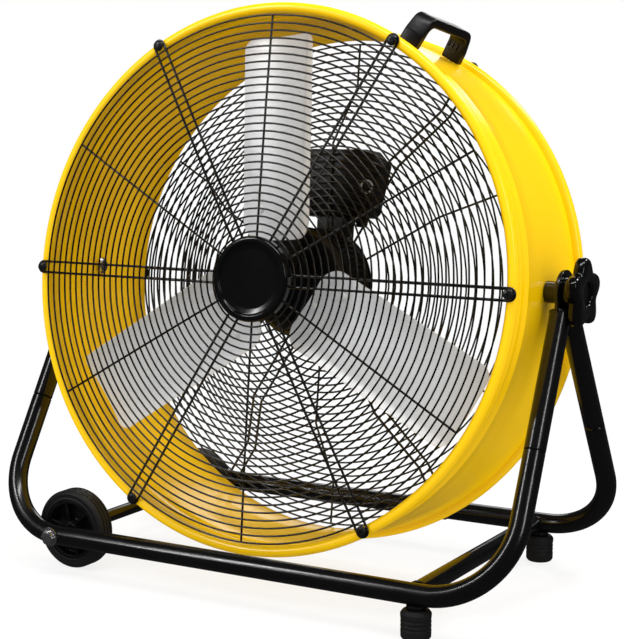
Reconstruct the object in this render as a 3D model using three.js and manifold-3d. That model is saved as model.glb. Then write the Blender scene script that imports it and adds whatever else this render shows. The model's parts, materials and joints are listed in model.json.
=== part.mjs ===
// A 24-inch drum fan on a tubular stand with two wheels and two feet.
// Millimetres, +Z up. The origin is on the floor, under the middle of the stand. The fan blows towards -Y.
import * as THREE from 'three';
import { mergeVertices } from 'three/addons/utils/BufferGeometryUtils.js';
import Module from 'manifold-3d';

const wasm = await Module();
wasm.setup();

// ---------------------------------------------------------------- driving dimensions

const GAP = 0.3;

const RIM_RADIUS = 335;
const DRUM_DEPTH = 220;
const DRUM_WALL = 1.5;
const BEAD_RADIUS = 6.5;
const SHELL_RADIUS = 326;
const RIB_HEIGHT = 3;
const RIB_HALF_WIDTH = 7;
const RIB_PLACES = [-78, -58];
const DRUM_SIDES = 40;

const PIVOT_HEIGHT = 378;
const DRUM_FORWARD = 5;
const DRUM_DROP = 6;
const DRUM_TILT = THREE.MathUtils.degToRad(7);

const TUBE_RADIUS = 12.7;
const TUBE_WALL = 1.6;
const TUBE_SIDES = 12;
const RUN_HEIGHT = 51;
const RUN_HALF_GAP = 184;
const RUN_X = 357;
const LEG_TOP_X = 348;
const LEG_TOP_HALF_GAP = 0;
const LEG_BEND = 95;
const JOINT_HEIGHT = 208;
const SOCKET_DEPTH = 30;
const SPIGOT_RADIUS = 10.3;
const LEG_TOP_HEIGHT = 356;

const PLATE_THICKNESS = 5;
const PLATE_RADIUS = 27;
const PLATE_DROP = 51;

const FOOT_X = 250;
const CROSSBAR_X = 246;
const CROSSBAR_RADIUS = 11;
const FOOT_RADIUS = 18;
const FOOT_HEIGHT = 34;
const STUB_RADIUS = 10;
const STUB_FLOOR_GAP = 8;

const WHEEL_X = -262;
const WHEEL_RADIUS = 51;
const WHEEL_WIDTH = 28;
const WHEEL_Y = 143;
const HUB_RADIUS = 38;
const BOSS_RADIUS = 11;
const BOSS_WIDTH = 32;
const AXLE_RADIUS = 5;
const SPACER_RADIUS = 8.5;
const NUT_RADIUS = 9.8;
const NUT_HEIGHT = 6.4;

const SCREW_CIRCLE = 328;
const SCREW_HEAD_RADIUS = 6.5;
const SCREW_HEAD_HEIGHT = 4;
const SCREW_RADIUS = 2.5;
const SCREW_DEPTH = 11;
const EYE_RADIUS = 7;
const GUARD_THICKNESS = 2.4;
const WIRE_WIDTH = 3;
const STRUT_WIDTH = 14;
const FRONT_RINGS = [40, 180, 318];
const REAR_RINGS = [62, 182, 262, 318];
const FRONT_DOME = 6;
const REAR_DISH = 57;
const DISH_INNER = 182;
const DISH_OUTER = 262;

const CAP_RADIUS = 52;
const CAP_HEIGHT = 12;

const STUD_RADIUS = 5;
const STUD_HEAD_RADIUS = 11;
const STUD_HEAD_HEIGHT = 4;
const STUD_SEAT_RELIEF = 2;
const SLEEVE_RADIUS = 13;
const KNOB_RADIUS = 42;
const KNOB_LOBES = 5;
const KNOB_LOBE_DEPTH = 12;
const KNOB_BOSS_RADIUS = 20;
const KNOB_FACE_X = 378;
const KNOB_THICKNESS = 15.5;
const KNOB_RECESS_RADIUS = 14;
const KNOB_RECESS_DEPTH = 5;

const MOTOR_RADIUS = 70;
const MOTOR_LENGTH = 60;
const BELL_LENGTH = 14;
const MOUNT_PLATE_RADIUS = 70;
const MOUNT_PLATE_THICKNESS = 3;
const SHAFT_RADIUS = 7;
const SHAFT_SEAT = 25;

const BOX_TOP_HALF_WIDTH = 66;
const BOX_BOTTOM_HALF_WIDTH = 54;
const BOX_CHAMFER = 18;
const BOX_BOTTOM = 88;
const BOX_TOP = 175;
const BOX_FRONT = 58;
const BOX_DEPTH = 34;
const BOX_WALL = 3;
const BOX_COVER = 5;
const BRACKET_HALF_WIDTH = 20;
const BRACKET_LOW = 40;
const BRACKET_STEP = 56;
const GLAND_X = 38;
const GLAND_Y = 76;
const GLAND_RADIUS = 6;
const SPEED_KNOB_RADIUS = 19;
const SPINDLE_RADIUS = 4;

const BLADE_COUNT = 3;
const BLADE_TIP = 306;
const BLADE_ROOT = 50;
const BLADE_CHORD = 110;
const BLADE_CAMBER = 8;
const BLADE_THICKNESS = 2;
const BLADE_FRONT = -70;
const ROOT_PITCH = THREE.MathUtils.degToRad(12);
const TIP_PITCH = THREE.MathUtils.degToRad(9);
const TWIST_STEP = 62;
const FLANGE_WIDTH = 11;
const ROTOR_TURN = THREE.MathUtils.degToRad(3);
const ARM_LENGTH = 106;
const ARM_WIDTH = 48;
const SADDLE_WIDTH = 84;
const SADDLE_START = 82;
const HUB_DISC_RADIUS = 44;
const HUB_DISC_FRONT = -62;
const HUB_BOSS_RADIUS = 20;
const HUB_FRONT = -86;
const HUB_REAR = -30;

const HANDLE_ANGLE = THREE.MathUtils.degToRad(62);
const HANDLE_MIDDLE = 9;
const HANDLE_HALF_LENGTH = 67;
const HANDLE_HEIGHT = 42;
const HANDLE_BAR = 11;
const HANDLE_LEG = 13;
const HANDLE_WIDTH = 26;
const HANDLE_LAND_HALF_WIDTH = 44;
const HANDLE_SCREW_LENGTH = 14;

// ---------------------------------------------------------------- materials

const finish = (color, roughness, metalness) => new THREE.MeshStandardMaterial({ color, roughness, metalness });
const yellowPaint = finish(0xf2c200, 0.3, 0.1);
const blackPaint = finish(0x0b0b0c, 0.22, 0.3);
const blackWire = finish(0x141416, 0.3, 0.6);
const blackPlastic = finish(0x121213, 0.35, 0);
const glossPlastic = finish(0x08080a, 0.15, 0);
const rubber = finish(0x161616, 0.8, 0);
const aluminium = finish(0xc9cbcd, 0.38, 0.9);
const zincSteel = finish(0xc4c6c8, 0.3, 0.9);
const motorPaint = finish(0x101011, 0.45, 0.3);
const greyPlastic = finish(0xb9babb, 0.45, 0);

// ---------------------------------------------------------------- solids

// A closed geometry as a solid that can be joined and cut.
function solidOf(geometry) {
  const bare = geometry.clone();
  bare.deleteAttribute('normal');
  bare.deleteAttribute('uv');
  const merged = mergeVertices(bare, 1e-3);
  const corners = merged.index.array;
  const triVerts = [];
  for (let i = 0; i < corners.length; i += 3) {
    const [a, b, c] = [corners[i], corners[i + 1], corners[i + 2]];
    if (a !== b && b !== c && c !== a) triVerts.push(a, b, c);
  }
  return new wasm.Manifold(new wasm.Mesh({
    numProp: 3,
    vertProperties: new Float32Array(merged.attributes.position.array),
    triVerts: new Uint32Array(triVerts),
  }));
}

function geometryOf(solid) {
  const { vertProperties, triVerts } = solid.getMesh();
  const geometry = new THREE.BufferGeometry();
  geometry.setAttribute('position', new THREE.BufferAttribute(new Float32Array(vertProperties), 3));
  geometry.setIndex(new THREE.BufferAttribute(new Uint32Array(triVerts), 1));
  geometry.computeVertexNormals();
  return geometry;
}

const join = (...geometries) => geometryOf(geometries.map(solidOf).reduce((whole, next) => whole.add(next)));
const cut = (body, ...tools) => geometryOf(
  tools.map(solidOf).reduce((rest, tool) => rest.subtract(tool), solidOf(body)),
);
const common = (one, other) => geometryOf(solidOf(one).intersect(solidOf(other)));

// ---------------------------------------------------------------- basic shapes

// A profile of [radius, height] pairs turned about +Y, outer side first, from low to high.
function turned(profile, sides = 32) {
  return new THREE.LatheGeometry(profile.map(([r, y]) => new THREE.Vector2(r, y)), sides);
}

const ringProfile = (inner, outer, low, high) => [
  [inner, low], [outer, low], [outer, high], [inner, high], [inner, low],
];

const discProfile = (radius, low, high) => [[0, low], [radius, low], [radius, high], [0, high]];

const alongX = (geometry) => geometry.rotateZ(-Math.PI / 2);
const alongZ = (geometry) => geometry.rotateX(Math.PI / 2);

function box(lowX, highX, lowY, highY, lowZ, highZ) {
  const geometry = new THREE.BoxGeometry(highX - lowX, highY - lowY, highZ - lowZ);
  return geometry.translate((lowX + highX) / 2, (lowY + highY) / 2, (lowZ + highZ) / 2);
}

// A turned profile whose +Y axis is laid from one point towards another.
function aimed(geometry, from, towards) {
  const direction = towards.clone().sub(from).normalize();
  const turn = new THREE.Quaternion().setFromUnitVectors(new THREE.Vector3(0, 1, 0), direction);
  return geometry.applyQuaternion(turn).translate(from.x, from.y, from.z);
}

const extruded = (shape, depth, curveSegments = 8) => new THREE.ExtrudeGeometry(shape, {
  depth, curveSegments, bevelEnabled: false, steps: 1,
});

// An outline drawn in X and Z, given thickness along Y from low to high.
const slabAcrossY = (shape, low, high, curveSegments) => (
  extruded(shape, high - low, curveSegments).rotateX(Math.PI / 2).translate(0, high, 0)
);

// An outline drawn in Y and Z, given thickness along X from low to high.
function slabAcrossX(shape, low, high, curveSegments) {
  const turn = new THREE.Matrix4().makeBasis(
    new THREE.Vector3(0, 1, 0), new THREE.Vector3(0, 0, 1), new THREE.Vector3(1, 0, 0),
  );
  return extruded(shape, high - low, curveSegments).applyMatrix4(turn).translate(low, 0, 0);
}

// A bent rod's centre line: straight stretches with a round bend at each corner.
// Only the bends hold many stations, and the curve answers with its stations one by one.
class BentLine extends THREE.Curve {
  constructor(corners, bendRadius, bendSteps) {
    super();
    const start = corners[1].clone().sub(corners[0]).normalize();
    this.stations = [{ point: corners[0], tangent: start }];
    for (let i = 1; i < corners.length - 1; i += 1) {
      this.addBend(corners[i - 1], corners[i], corners[i + 1], bendRadius, bendSteps);
    }
    const end = corners.at(-1);
    this.stations.push({ point: end, tangent: end.clone().sub(corners.at(-2)).normalize() });
  }

  addBend(before, corner, after, radius, steps) {
    const into = corner.clone().sub(before).normalize();
    const out = after.clone().sub(corner).normalize();
    const turn = into.angleTo(out);
    const reach = radius * Math.tan(turn / 2);
    const first = corner.clone().addScaledVector(into, -reach);
    const side = out.clone().addScaledVector(into, -into.dot(out)).normalize();
    for (let i = 0; i <= steps; i += 1) {
      const angle = (turn * i) / steps;
      const point = first.clone()
        .addScaledVector(into, radius * Math.sin(angle))
        .addScaledVector(side, radius * (1 - Math.cos(angle)));
      const tangent = into.clone().multiplyScalar(Math.cos(angle)).addScaledVector(side, Math.sin(angle));
      this.stations.push({ point, tangent });
    }
  }

  get steps() {
    return this.stations.length - 1;
  }

  getPoint(t, target = new THREE.Vector3()) {
    return target.copy(this.stations[Math.round(t * this.steps)].point);
  }

  getPointAt(t, target) {
    return this.getPoint(t, target);
  }

  getTangent(t, target = new THREE.Vector3()) {
    return target.copy(this.stations[Math.round(t * this.steps)].tangent);
  }

  getTangentAt(t, target) {
    return this.getTangent(t, target);
  }
}

function bentRod(line, radius) {
  const section = new THREE.Shape().absarc(0, 0, radius, 0, 2 * Math.PI);
  return new THREE.ExtrudeGeometry(section, {
    steps: line.steps, curveSegments: TUBE_SIDES / 2, extrudePath: line, bevelEnabled: false,
  });
}

// ---------------------------------------------------------------- stand

// The leg's centre line at a height above the floor: its half gap in Y and its distance from the middle in X.
const alongLeg = (height, atRun, atPivot) => (
  THREE.MathUtils.mapLinear(height, RUN_HEIGHT, PIVOT_HEIGHT, atRun, atPivot)
);
const legHalfGap = (height) => alongLeg(height, RUN_HALF_GAP, LEG_TOP_HALF_GAP);
const legX = (height) => alongLeg(height, RUN_X, LEG_TOP_X);

// side is -1 for the left and +1 for the right; end is -1 for the front and +1 for the rear.
const legPoint = (side, end, height) => new THREE.Vector3(side * legX(height), end * legHalfGap(height), height);

const lowerTubeLine = (end, top = JOINT_HEIGHT) => new BentLine([
  legPoint(-1, end, top),
  legPoint(-1, end, RUN_HEIGHT),
  legPoint(1, end, RUN_HEIGHT),
  legPoint(1, end, top),
], LEG_BEND, 8);

const runFace = RUN_HALF_GAP + TUBE_RADIUS;

function axleHole() {
  const reach = runFace + 2 * NUT_HEIGHT;
  return turned(discProfile(AXLE_RADIUS + GAP, -reach, reach), 12).translate(WHEEL_X, 0, RUN_HEIGHT);
}

function lowerTube(end) {
  const bore = bentRod(lowerTubeLine(end, JOINT_HEIGHT + 1), TUBE_RADIUS - TUBE_WALL);
  return cut(bentRod(lowerTubeLine(end), TUBE_RADIUS), bore, axleHole());
}

function pivotPlateShape(margin) {
  const bottom = PIVOT_HEIGHT - PLATE_DROP - margin;
  const halfWidth = legHalfGap(bottom);
  const radius = PLATE_RADIUS + margin;
  const shape = new THREE.Shape();
  shape.moveTo(-halfWidth, bottom);
  shape.lineTo(halfWidth, bottom);
  shape.absarc(0, PIVOT_HEIGHT, radius, -0.12 * Math.PI, 1.12 * Math.PI);
  shape.closePath();
  return shape;
}

function pivotPlate() {
  const shape = pivotPlateShape(0);
  shape.holes.push(new THREE.Path().absarc(0, PIVOT_HEIGHT, STUD_RADIUS + GAP, 0, 2 * Math.PI));
  return slabAcrossX(shape, LEG_TOP_X - PLATE_THICKNESS / 2, LEG_TOP_X + PLATE_THICKNESS / 2, 10);
}

// The upper leg plugs into the lower tube with a spigot, and its top is slotted for the pivot plate.
function upperLeg(side, end) {
  const joint = legPoint(side, end, JOINT_HEIGHT);
  const top = legPoint(side, end, LEG_TOP_HEIGHT);
  const length = joint.distanceTo(top);
  const spigotBore = SPIGOT_RADIUS - TUBE_WALL;
  const bore = TUBE_RADIUS - TUBE_WALL;
  const leg = aimed(turned([
    [spigotBore, -SOCKET_DEPTH], [SPIGOT_RADIUS, -SOCKET_DEPTH], [SPIGOT_RADIUS, GAP],
    [TUBE_RADIUS, GAP], [TUBE_RADIUS, length], [bore, length],
    [bore, 2 * TUBE_WALL], [spigotBore, 2 * TUBE_WALL], [spigotBore, -SOCKET_DEPTH],
  ], TUBE_SIDES), joint, top);
  const half = PLATE_THICKNESS / 2 + GAP;
  const slot = slabAcrossX(pivotPlateShape(GAP), side * LEG_TOP_X - half, side * LEG_TOP_X + half, 10);
  return cut(leg, slot);
}

const lowerTubeRoom = (end) => bentRod(lowerTubeLine(end), TUBE_RADIUS + GAP);

function crossbarRod(radius) {
  const reach = RUN_HALF_GAP - TUBE_RADIUS / 2;
  return turned(discProfile(radius, -reach, reach), TUBE_SIDES).translate(CROSSBAR_X, 0, RUN_HEIGHT);
}

function footCrossbar() {
  const bore = crossbarRod(CROSSBAR_RADIUS - TUBE_WALL).scale(1, 1.1, 1);
  return cut(crossbarRod(CROSSBAR_RADIUS), bore, lowerTubeRoom(-1), lowerTubeRoom(1));
}

function footStub(end) {
  const stub = alongZ(turned(discProfile(STUB_RADIUS, STUB_FLOOR_GAP, RUN_HEIGHT - TUBE_RADIUS / 2), TUBE_SIDES));
  stub.translate(FOOT_X, end * RUN_HALF_GAP, 0);
  return cut(stub, lowerTubeRoom(end), crossbarRod(CROSSBAR_RADIUS + GAP));
}

function foot(end) {
  const bore = STUB_RADIUS + GAP;
  const floor = STUB_FLOOR_GAP - GAP;
  const edge = 3;
  const cap = alongZ(turned([
    [0, 0], [FOOT_RADIUS - edge, 0], [FOOT_RADIUS - 1, 2], [FOOT_RADIUS, FOOT_HEIGHT - edge],
    [FOOT_RADIUS - edge, FOOT_HEIGHT], [bore, FOOT_HEIGHT], [bore, floor], [0, floor],
  ], 18));
  return cap.translate(FOOT_X, end * RUN_HALF_GAP, 0);
}

// ---------------------------------------------------------------- wheels and axle

function wheelAxle() {
  const head = -(runFace + GAP);
  const end = runFace + GAP + NUT_HEIGHT;
  return join(
    turned(discProfile(NUT_RADIUS, head - NUT_HEIGHT, head), 6),
    turned(discProfile(AXLE_RADIUS, head - 1, end), 12),
  ).translate(WHEEL_X, 0, RUN_HEIGHT);
}

function axleNut() {
  const low = runFace + GAP;
  const blank = turned(discProfile(NUT_RADIUS, low, low + NUT_HEIGHT), 6);
  return cut(blank.translate(WHEEL_X, 0, RUN_HEIGHT), axleHole());
}

function axleSpacer(low, high) {
  return turned(ringProfile(AXLE_RADIUS + GAP, SPACER_RADIUS, low, high), 12).translate(WHEEL_X, 0, RUN_HEIGHT);
}

function wheelTyre(end) {
  const half = WHEEL_WIDTH / 2;
  const bore = HUB_RADIUS + GAP;
  const edge = 3;
  const profile = [
    [bore, -half], [WHEEL_RADIUS - edge, -half], [WHEEL_RADIUS, -half + edge],
    [WHEEL_RADIUS, half - edge], [WHEEL_RADIUS - edge, half], [bore, half], [bore, -half],
  ];
  return turned(profile, 30).translate(WHEEL_X, end * WHEEL_Y, RUN_HEIGHT);
}

function wheelHub(end) {
  const bore = AXLE_RADIUS + GAP;
  const half = WHEEL_WIDTH / 2 - 1;
  const boss = BOSS_WIDTH / 2;
  const rim = HUB_RADIUS - 4;
  const web = 3;
  const body = turned([
    [bore, -boss], [BOSS_RADIUS, -boss], [BOSS_RADIUS, -web], [rim, -web], [rim, -half], [HUB_RADIUS, -half],
    [HUB_RADIUS, half], [rim, half], [rim, web], [BOSS_RADIUS, web], [BOSS_RADIUS, boss], [bore, boss],
    [bore, -boss],
  ], 20);
  const ribs = [];
  for (let i = 0; i < 6; i += 1) {
    const rib = box(BOSS_RADIUS - 2, rim + 2, -half + 2, half - 2, -web / 2, web / 2);
    ribs.push(rib.rotateY((i * Math.PI) / 3));
  }
  return join(body, ...ribs).translate(WHEEL_X, end * WHEEL_Y, RUN_HEIGHT);
}

// ---------------------------------------------------------------- drum shell and guards
// These pieces are made in the drum's own frame: +Y is its axis, the middle of its depth is at 0.

const halfDepth = DRUM_DEPTH / 2;
const beadPlace = halfDepth - BEAD_RADIUS;
const beadCentre = RIM_RADIUS - BEAD_RADIUS;

// The rolled rim at one end, as points from the side nearer the middle, round the outside, to the bore.
function rimBead(end) {
  const points = [];
  for (let i = 0; i <= 5; i += 1) {
    const angle = THREE.MathUtils.mapLinear(i, 0, 5, -0.2 * Math.PI, 1.1 * Math.PI);
    points.push([
      beadCentre + BEAD_RADIUS * Math.cos(angle),
      end * (beadPlace + BEAD_RADIUS * Math.sin(angle)),
    ]);
  }
  return points;
}

const rib = (place) => [
  [SHELL_RADIUS, place - RIB_HALF_WIDTH], [SHELL_RADIUS + RIB_HEIGHT, place - RIB_HALF_WIDTH / 2],
  [SHELL_RADIUS + RIB_HEIGHT, place + RIB_HALF_WIDTH / 2], [SHELL_RADIUS, place + RIB_HALF_WIDTH],
];

// The ribs stop on both sides of a flat land under the handle.
function handleLand() {
  const low = SHELL_RADIUS + 0.01;
  const high = SHELL_RADIUS + 2 * RIB_HEIGHT;
  const [first, last] = RIB_PLACES;
  const room = RIB_HALF_WIDTH + 3;
  const land = box(low, high, first - room, last + room, -HANDLE_LAND_HALF_WIDTH, HANDLE_LAND_HALF_WIDTH);
  return land.rotateY(-HANDLE_ANGLE);
}

const handleScrewPlaces = [-1, 1].map((end) => HANDLE_MIDDLE + end * (HANDLE_HALF_LENGTH - HANDLE_LEG / 2));

function drumShell() {
  const bore = SHELL_RADIUS - DRUM_WALL;
  const neck = beadPlace - BEAD_RADIUS;
  const profile = [
    ...rimBead(-1).reverse(),
    [SHELL_RADIUS, -neck],
    ...RIB_PLACES.flatMap(rib),
    [SHELL_RADIUS, neck],
    ...rimBead(1),
    [bore, neck],
    [bore, -neck],
  ];
  profile.push(profile[0]);
  const holes = [handleLand()];
  for (let i = 0; i < 6; i += 1) {
    for (const end of [-1, 1]) {
      const hole = turned(discProfile(SCREW_RADIUS + GAP, -SCREW_DEPTH, 2), 8);
      if (end < 0) hole.rotateX(Math.PI);
      holes.push(hole.translate(SCREW_CIRCLE, end * halfDepth, 0).rotateY((-i * Math.PI) / 3));
    }
  }
  for (const side of [-1, 1]) {
    const pivotHole = alongX(turned(discProfile(STUD_RADIUS + GAP, -20, 20), 12));
    holes.push(pivotHole.translate(side * SHELL_RADIUS, DRUM_FORWARD, DRUM_DROP));
  }
  for (const place of handleScrewPlaces) {
    const screwHole = alongX(turned(discProfile(SCREW_RADIUS + GAP, -20, 20), 8));
    holes.push(screwHole.translate(SHELL_RADIUS, place, 0).rotateY(-HANDLE_ANGLE));
  }
  return cut(turned(profile, DRUM_SIDES), ...holes);
}

// How far a guard stands off its rim plane, along the axis, at a distance from the axis.
const frontDome = (radius) => -FRONT_DOME * (1 - (radius / FRONT_RINGS.at(-1)) ** 2);
const rearDish = (radius) => (
  -REAR_DISH * THREE.MathUtils.clamp((DISH_OUTER - radius) / (DISH_OUTER - DISH_INNER), 0, 1)
);

const frontGuardFace = -halfDepth - GAP - GUARD_THICKNESS;
const rearGuardFace = halfDepth + GAP;

// A flat bar along +X that follows the guard's side view from the inner ring out to a radius.
function guardBar(rings, reach, width, heightAt) {
  const radii = [...rings.slice(0, -1), rings.at(-1) - 2, reach];
  const front = radii.map((r) => new THREE.Vector2(r, heightAt(r)));
  const back = radii.map((r) => new THREE.Vector2(r, heightAt(r) + GUARD_THICKNESS)).reverse();
  return extruded(new THREE.Shape([...front, ...back]), width).translate(0, 0, -width / 2);
}

// A guard as one body: rings, six broad struts that end in screw eyes, and six thin spokes between them.
function guard(rings, heightAt) {
  const half = WIRE_WIDTH / 2;
  const parts = rings.map((r) => (
    turned(ringProfile(r - half, r + half, heightAt(r), heightAt(r) + GUARD_THICKNESS), r > 200 ? 32 : 24)
  ));
  const rimHeight = heightAt(rings.at(-1));
  const eyes = [];
  for (let i = 0; i < 6; i += 1) {
    const turn = (-i * Math.PI) / 3;
    const eye = turned(discProfile(EYE_RADIUS, rimHeight, rimHeight + GUARD_THICKNESS), 10);
    const hole = turned(discProfile(SCREW_RADIUS + GAP, rimHeight - 5, rimHeight + 5), 8);
    parts.push(guardBar(rings, SCREW_CIRCLE, STRUT_WIDTH, heightAt).rotateY(turn));
    parts.push(guardBar(rings, rings.at(-1), WIRE_WIDTH, heightAt).rotateY(turn - Math.PI / 6));
    parts.push(eye.translate(SCREW_CIRCLE, 0, 0).rotateY(turn));
    eyes.push(hole.translate(SCREW_CIRCLE, 0, 0).rotateY(turn));
  }
  return cut(join(...parts), ...eyes);
}

const frontGuard = () => guard(FRONT_RINGS, (r) => frontGuardFace + frontDome(Math.min(r, FRONT_RINGS.at(-1))));
const rearGuard = () => guard(REAR_RINGS, (r) => rearGuardFace + rearDish(r));

// A pan-head screw whose head lies against the guard at one end of the drum.
function guardScrew(end, index) {
  const seat = halfDepth + 2 * GAP + GUARD_THICKNESS;
  const tip = seat - SCREW_DEPTH - 1;
  const screw = turned([
    [0, tip], [SCREW_RADIUS, tip], [SCREW_RADIUS, seat], [SCREW_HEAD_RADIUS, seat],
    [SCREW_HEAD_RADIUS, seat + SCREW_HEAD_HEIGHT / 2], [SCREW_HEAD_RADIUS - 2.5, seat + SCREW_HEAD_HEIGHT],
    [0, seat + SCREW_HEAD_HEIGHT],
  ], 8);
  if (end < 0) screw.rotateX(Math.PI);
  return screw.translate(SCREW_CIRCLE, 0, 0).rotateY((-index * Math.PI) / 3);
}

function frontGuardCap() {
  const back = frontGuardFace - FRONT_DOME - GAP;
  const face = back - CAP_HEIGHT;
  return turned([
    [0, face + 4], [CAP_RADIUS - 10, face + 3], [CAP_RADIUS - 7, face],
    [CAP_RADIUS - 3, face], [CAP_RADIUS, face + 3], [CAP_RADIUS, back], [0, back],
  ], 28);
}

// ---------------------------------------------------------------- carry handle

// The handle's side view, as places along the drum's axis and distances from it.
function handleShape() {
  const base = SHELL_RADIUS + 2 * GAP;
  const top = base + HANDLE_HEIGHT;
  const shoulder = HANDLE_HALF_LENGTH - HANDLE_LEG;
  const outer = [
    [-HANDLE_HALF_LENGTH, base], [-HANDLE_HALF_LENGTH + 2, base + 14], [-shoulder - 2, top - 8],
    [-shoulder + 6, top], [shoulder - 6, top], [shoulder + 2, top - 8],
    [HANDLE_HALF_LENGTH - 2, base + 14], [HANDLE_HALF_LENGTH, base],
  ];
  const inner = [
    [shoulder, base], [shoulder - 6, top - HANDLE_BAR - 6], [shoulder - 12, top - HANDLE_BAR],
    [-shoulder + 12, top - HANDLE_BAR], [-shoulder + 6, top - HANDLE_BAR - 6], [-shoulder, base],
  ];
  const points = [...outer, ...inner].reverse();
  return new THREE.Shape(points.map(([place, radius]) => new THREE.Vector2(HANDLE_MIDDLE + place, radius)));
}

// The handle stands on the shell, with its grip along the drum's axis.
function carryHandle() {
  const turn = new THREE.Matrix4().makeBasis(
    new THREE.Vector3(0, 1, 0), new THREE.Vector3(1, 0, 0), new THREE.Vector3(0, 0, -1),
  );
  const grip = extruded(handleShape(), HANDLE_WIDTH).applyMatrix4(turn).translate(0, 0, HANDLE_WIDTH / 2);
  const holes = handleScrewPlaces.map((place) => (
    alongX(turned(discProfile(SCREW_RADIUS + GAP, 0, HANDLE_SCREW_LENGTH), 8)).translate(SHELL_RADIUS, place, 0)
  ));
  return cut(grip, ...holes).rotateY(-HANDLE_ANGLE);
}

function handleScrew(place) {
  const seat = SHELL_RADIUS * Math.cos(Math.PI / DRUM_SIDES) - DRUM_WALL - 2 * GAP;
  const headRadius = 2 * SCREW_RADIUS;
  const tip = seat + HANDLE_SCREW_LENGTH;
  const screw = alongX(turned([
    [0, seat - 3], [headRadius, seat - 3], [headRadius, seat], [SCREW_RADIUS, seat], [SCREW_RADIUS, tip], [0, tip],
  ], 10));
  return screw.translate(0, place, 0).rotateY(-HANDLE_ANGLE);
}

// ---------------------------------------------------------------- pivots
// Made in the pivot's frame: the tilt axis is X, for the right side.

const plateInner = LEG_TOP_X - PLATE_THICKNESS / 2;
const plateOuter = LEG_TOP_X + PLATE_THICKNESS / 2;
const studEnd = KNOB_FACE_X - KNOB_RECESS_DEPTH - 7;

function pivotStud() {
  const seat = SHELL_RADIUS - DRUM_WALL - STUD_SEAT_RELIEF;
  const top = seat - STUD_HEAD_HEIGHT;
  return alongX(turned([
    [0, top], [STUD_HEAD_RADIUS - 3, top], [STUD_HEAD_RADIUS, top + 2.5], [STUD_HEAD_RADIUS, seat],
    [STUD_RADIUS, seat], [STUD_RADIUS, studEnd], [0, studEnd],
  ], 12));
}

const pivotSleeve = () => alongX(turned(
  ringProfile(STUD_RADIUS + GAP, SLEEVE_RADIUS, SHELL_RADIUS + GAP, plateInner - GAP), 24,
));

function starShape() {
  const points = [];
  const steps = 7 * KNOB_LOBES;
  for (let i = 0; i < steps; i += 1) {
    const angle = (2 * Math.PI * i) / steps + Math.PI / 2;
    const wave = 0.5 + 0.5 * Math.cos(KNOB_LOBES * (angle - Math.PI / 2));
    const radius = KNOB_RADIUS - KNOB_LOBE_DEPTH * (1 - wave ** 0.7);
    points.push(new THREE.Vector2(radius * Math.cos(angle), radius * Math.sin(angle)));
  }
  return new THREE.Shape(points);
}

function tiltKnob() {
  const back = KNOB_FACE_X - KNOB_THICKNESS;
  const bevel = 4;
  const star = new THREE.ExtrudeGeometry(starShape(), {
    depth: KNOB_THICKNESS - 2 * bevel, bevelEnabled: true, bevelThickness: bevel, bevelSize: bevel,
    bevelOffset: -bevel, bevelSegments: 1, steps: 1,
  });
  const turn = new THREE.Matrix4().makeBasis(
    new THREE.Vector3(0, 1, 0), new THREE.Vector3(0, 0, 1), new THREE.Vector3(1, 0, 0),
  );
  star.applyMatrix4(turn).translate(back + bevel, 0, 0);
  const boss = alongX(turned(discProfile(KNOB_BOSS_RADIUS, plateOuter + GAP, back + 6), 24));
  const bore = alongX(turned(discProfile(STUD_RADIUS + GAP, plateOuter - 5, studEnd + 1), 12));
  const floor = KNOB_FACE_X - KNOB_RECESS_DEPTH;
  const recess = alongX(turned(discProfile(KNOB_RECESS_RADIUS, floor, KNOB_FACE_X + 5), 24));
  return cut(join(star, boss), bore, recess);
}

// ---------------------------------------------------------------- motor and controls
// In the drum's frame again.

// The motor stands in front of its plate, which lies against the dished middle of the rear guard.
const dishFace = rearGuardFace - REAR_DISH;
const mountRear = dishFace - GAP;
const mountFront = mountRear - MOUNT_PLATE_THICKNESS;
const motorRear = mountFront - GAP;
const motorFront = motorRear - MOTOR_LENGTH;
const shaftEnd = motorFront + SHAFT_SEAT;

// The plate's bracket steps through the open middle of the guard and up behind it, under the control box.
function mountPlate() {
  const half = BRACKET_HALF_WIDTH;
  const rear = BOX_FRONT + BOX_DEPTH - 2;
  const disc = turned(ringProfile(24, MOUNT_PLATE_RADIUS, mountFront, mountRear), 40);
  const through = box(-half, half, mountFront, rear, BRACKET_LOW, BRACKET_STEP);
  const behind = box(-half, half, BOX_FRONT + 2, rear, BRACKET_STEP - 2, BOX_BOTTOM - GAP);
  return join(disc, through, behind);
}

const motorHousing = () => turned([
  [0, shaftEnd], [SHAFT_RADIUS + GAP, shaftEnd], [SHAFT_RADIUS + GAP, motorFront], [MOTOR_RADIUS, motorFront],
  [MOTOR_RADIUS, motorRear - 3], [MOTOR_RADIUS - 3, motorRear], [0, motorRear],
], 40);

function motorEndBell() {
  const rear = motorFront - GAP;
  const front = rear - BELL_LENGTH;
  return turned([
    [SHAFT_RADIUS + GAP, front], [MOTOR_RADIUS - 22, front], [MOTOR_RADIUS - 6, front + 5],
    [MOTOR_RADIUS - 2, rear], [SHAFT_RADIUS + GAP, rear], [SHAFT_RADIUS + GAP, front],
  ], 40);
}

// The control box narrows downwards, and its upper corners are cut off.
function boxShape(inset) {
  const low = BOX_BOTTOM + inset;
  const high = BOX_TOP - inset;
  const bottom = BOX_BOTTOM_HALF_WIDTH - inset;
  const top = BOX_TOP_HALF_WIDTH - inset;
  return new THREE.Shape([
    [-bottom + 6, low], [bottom - 6, low], [bottom, low + 6], [top, high - BOX_CHAMFER], [top - BOX_CHAMFER, high],
    [-top + BOX_CHAMFER, high], [-top, high - BOX_CHAMFER], [-bottom, low + 6],
  ].map(([x, z]) => new THREE.Vector2(x, z)));
}

const coverLow = BOX_FRONT + BOX_DEPTH + GAP;
const speedKnobHeight = (BOX_BOTTOM + BOX_TOP) / 2;

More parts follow.
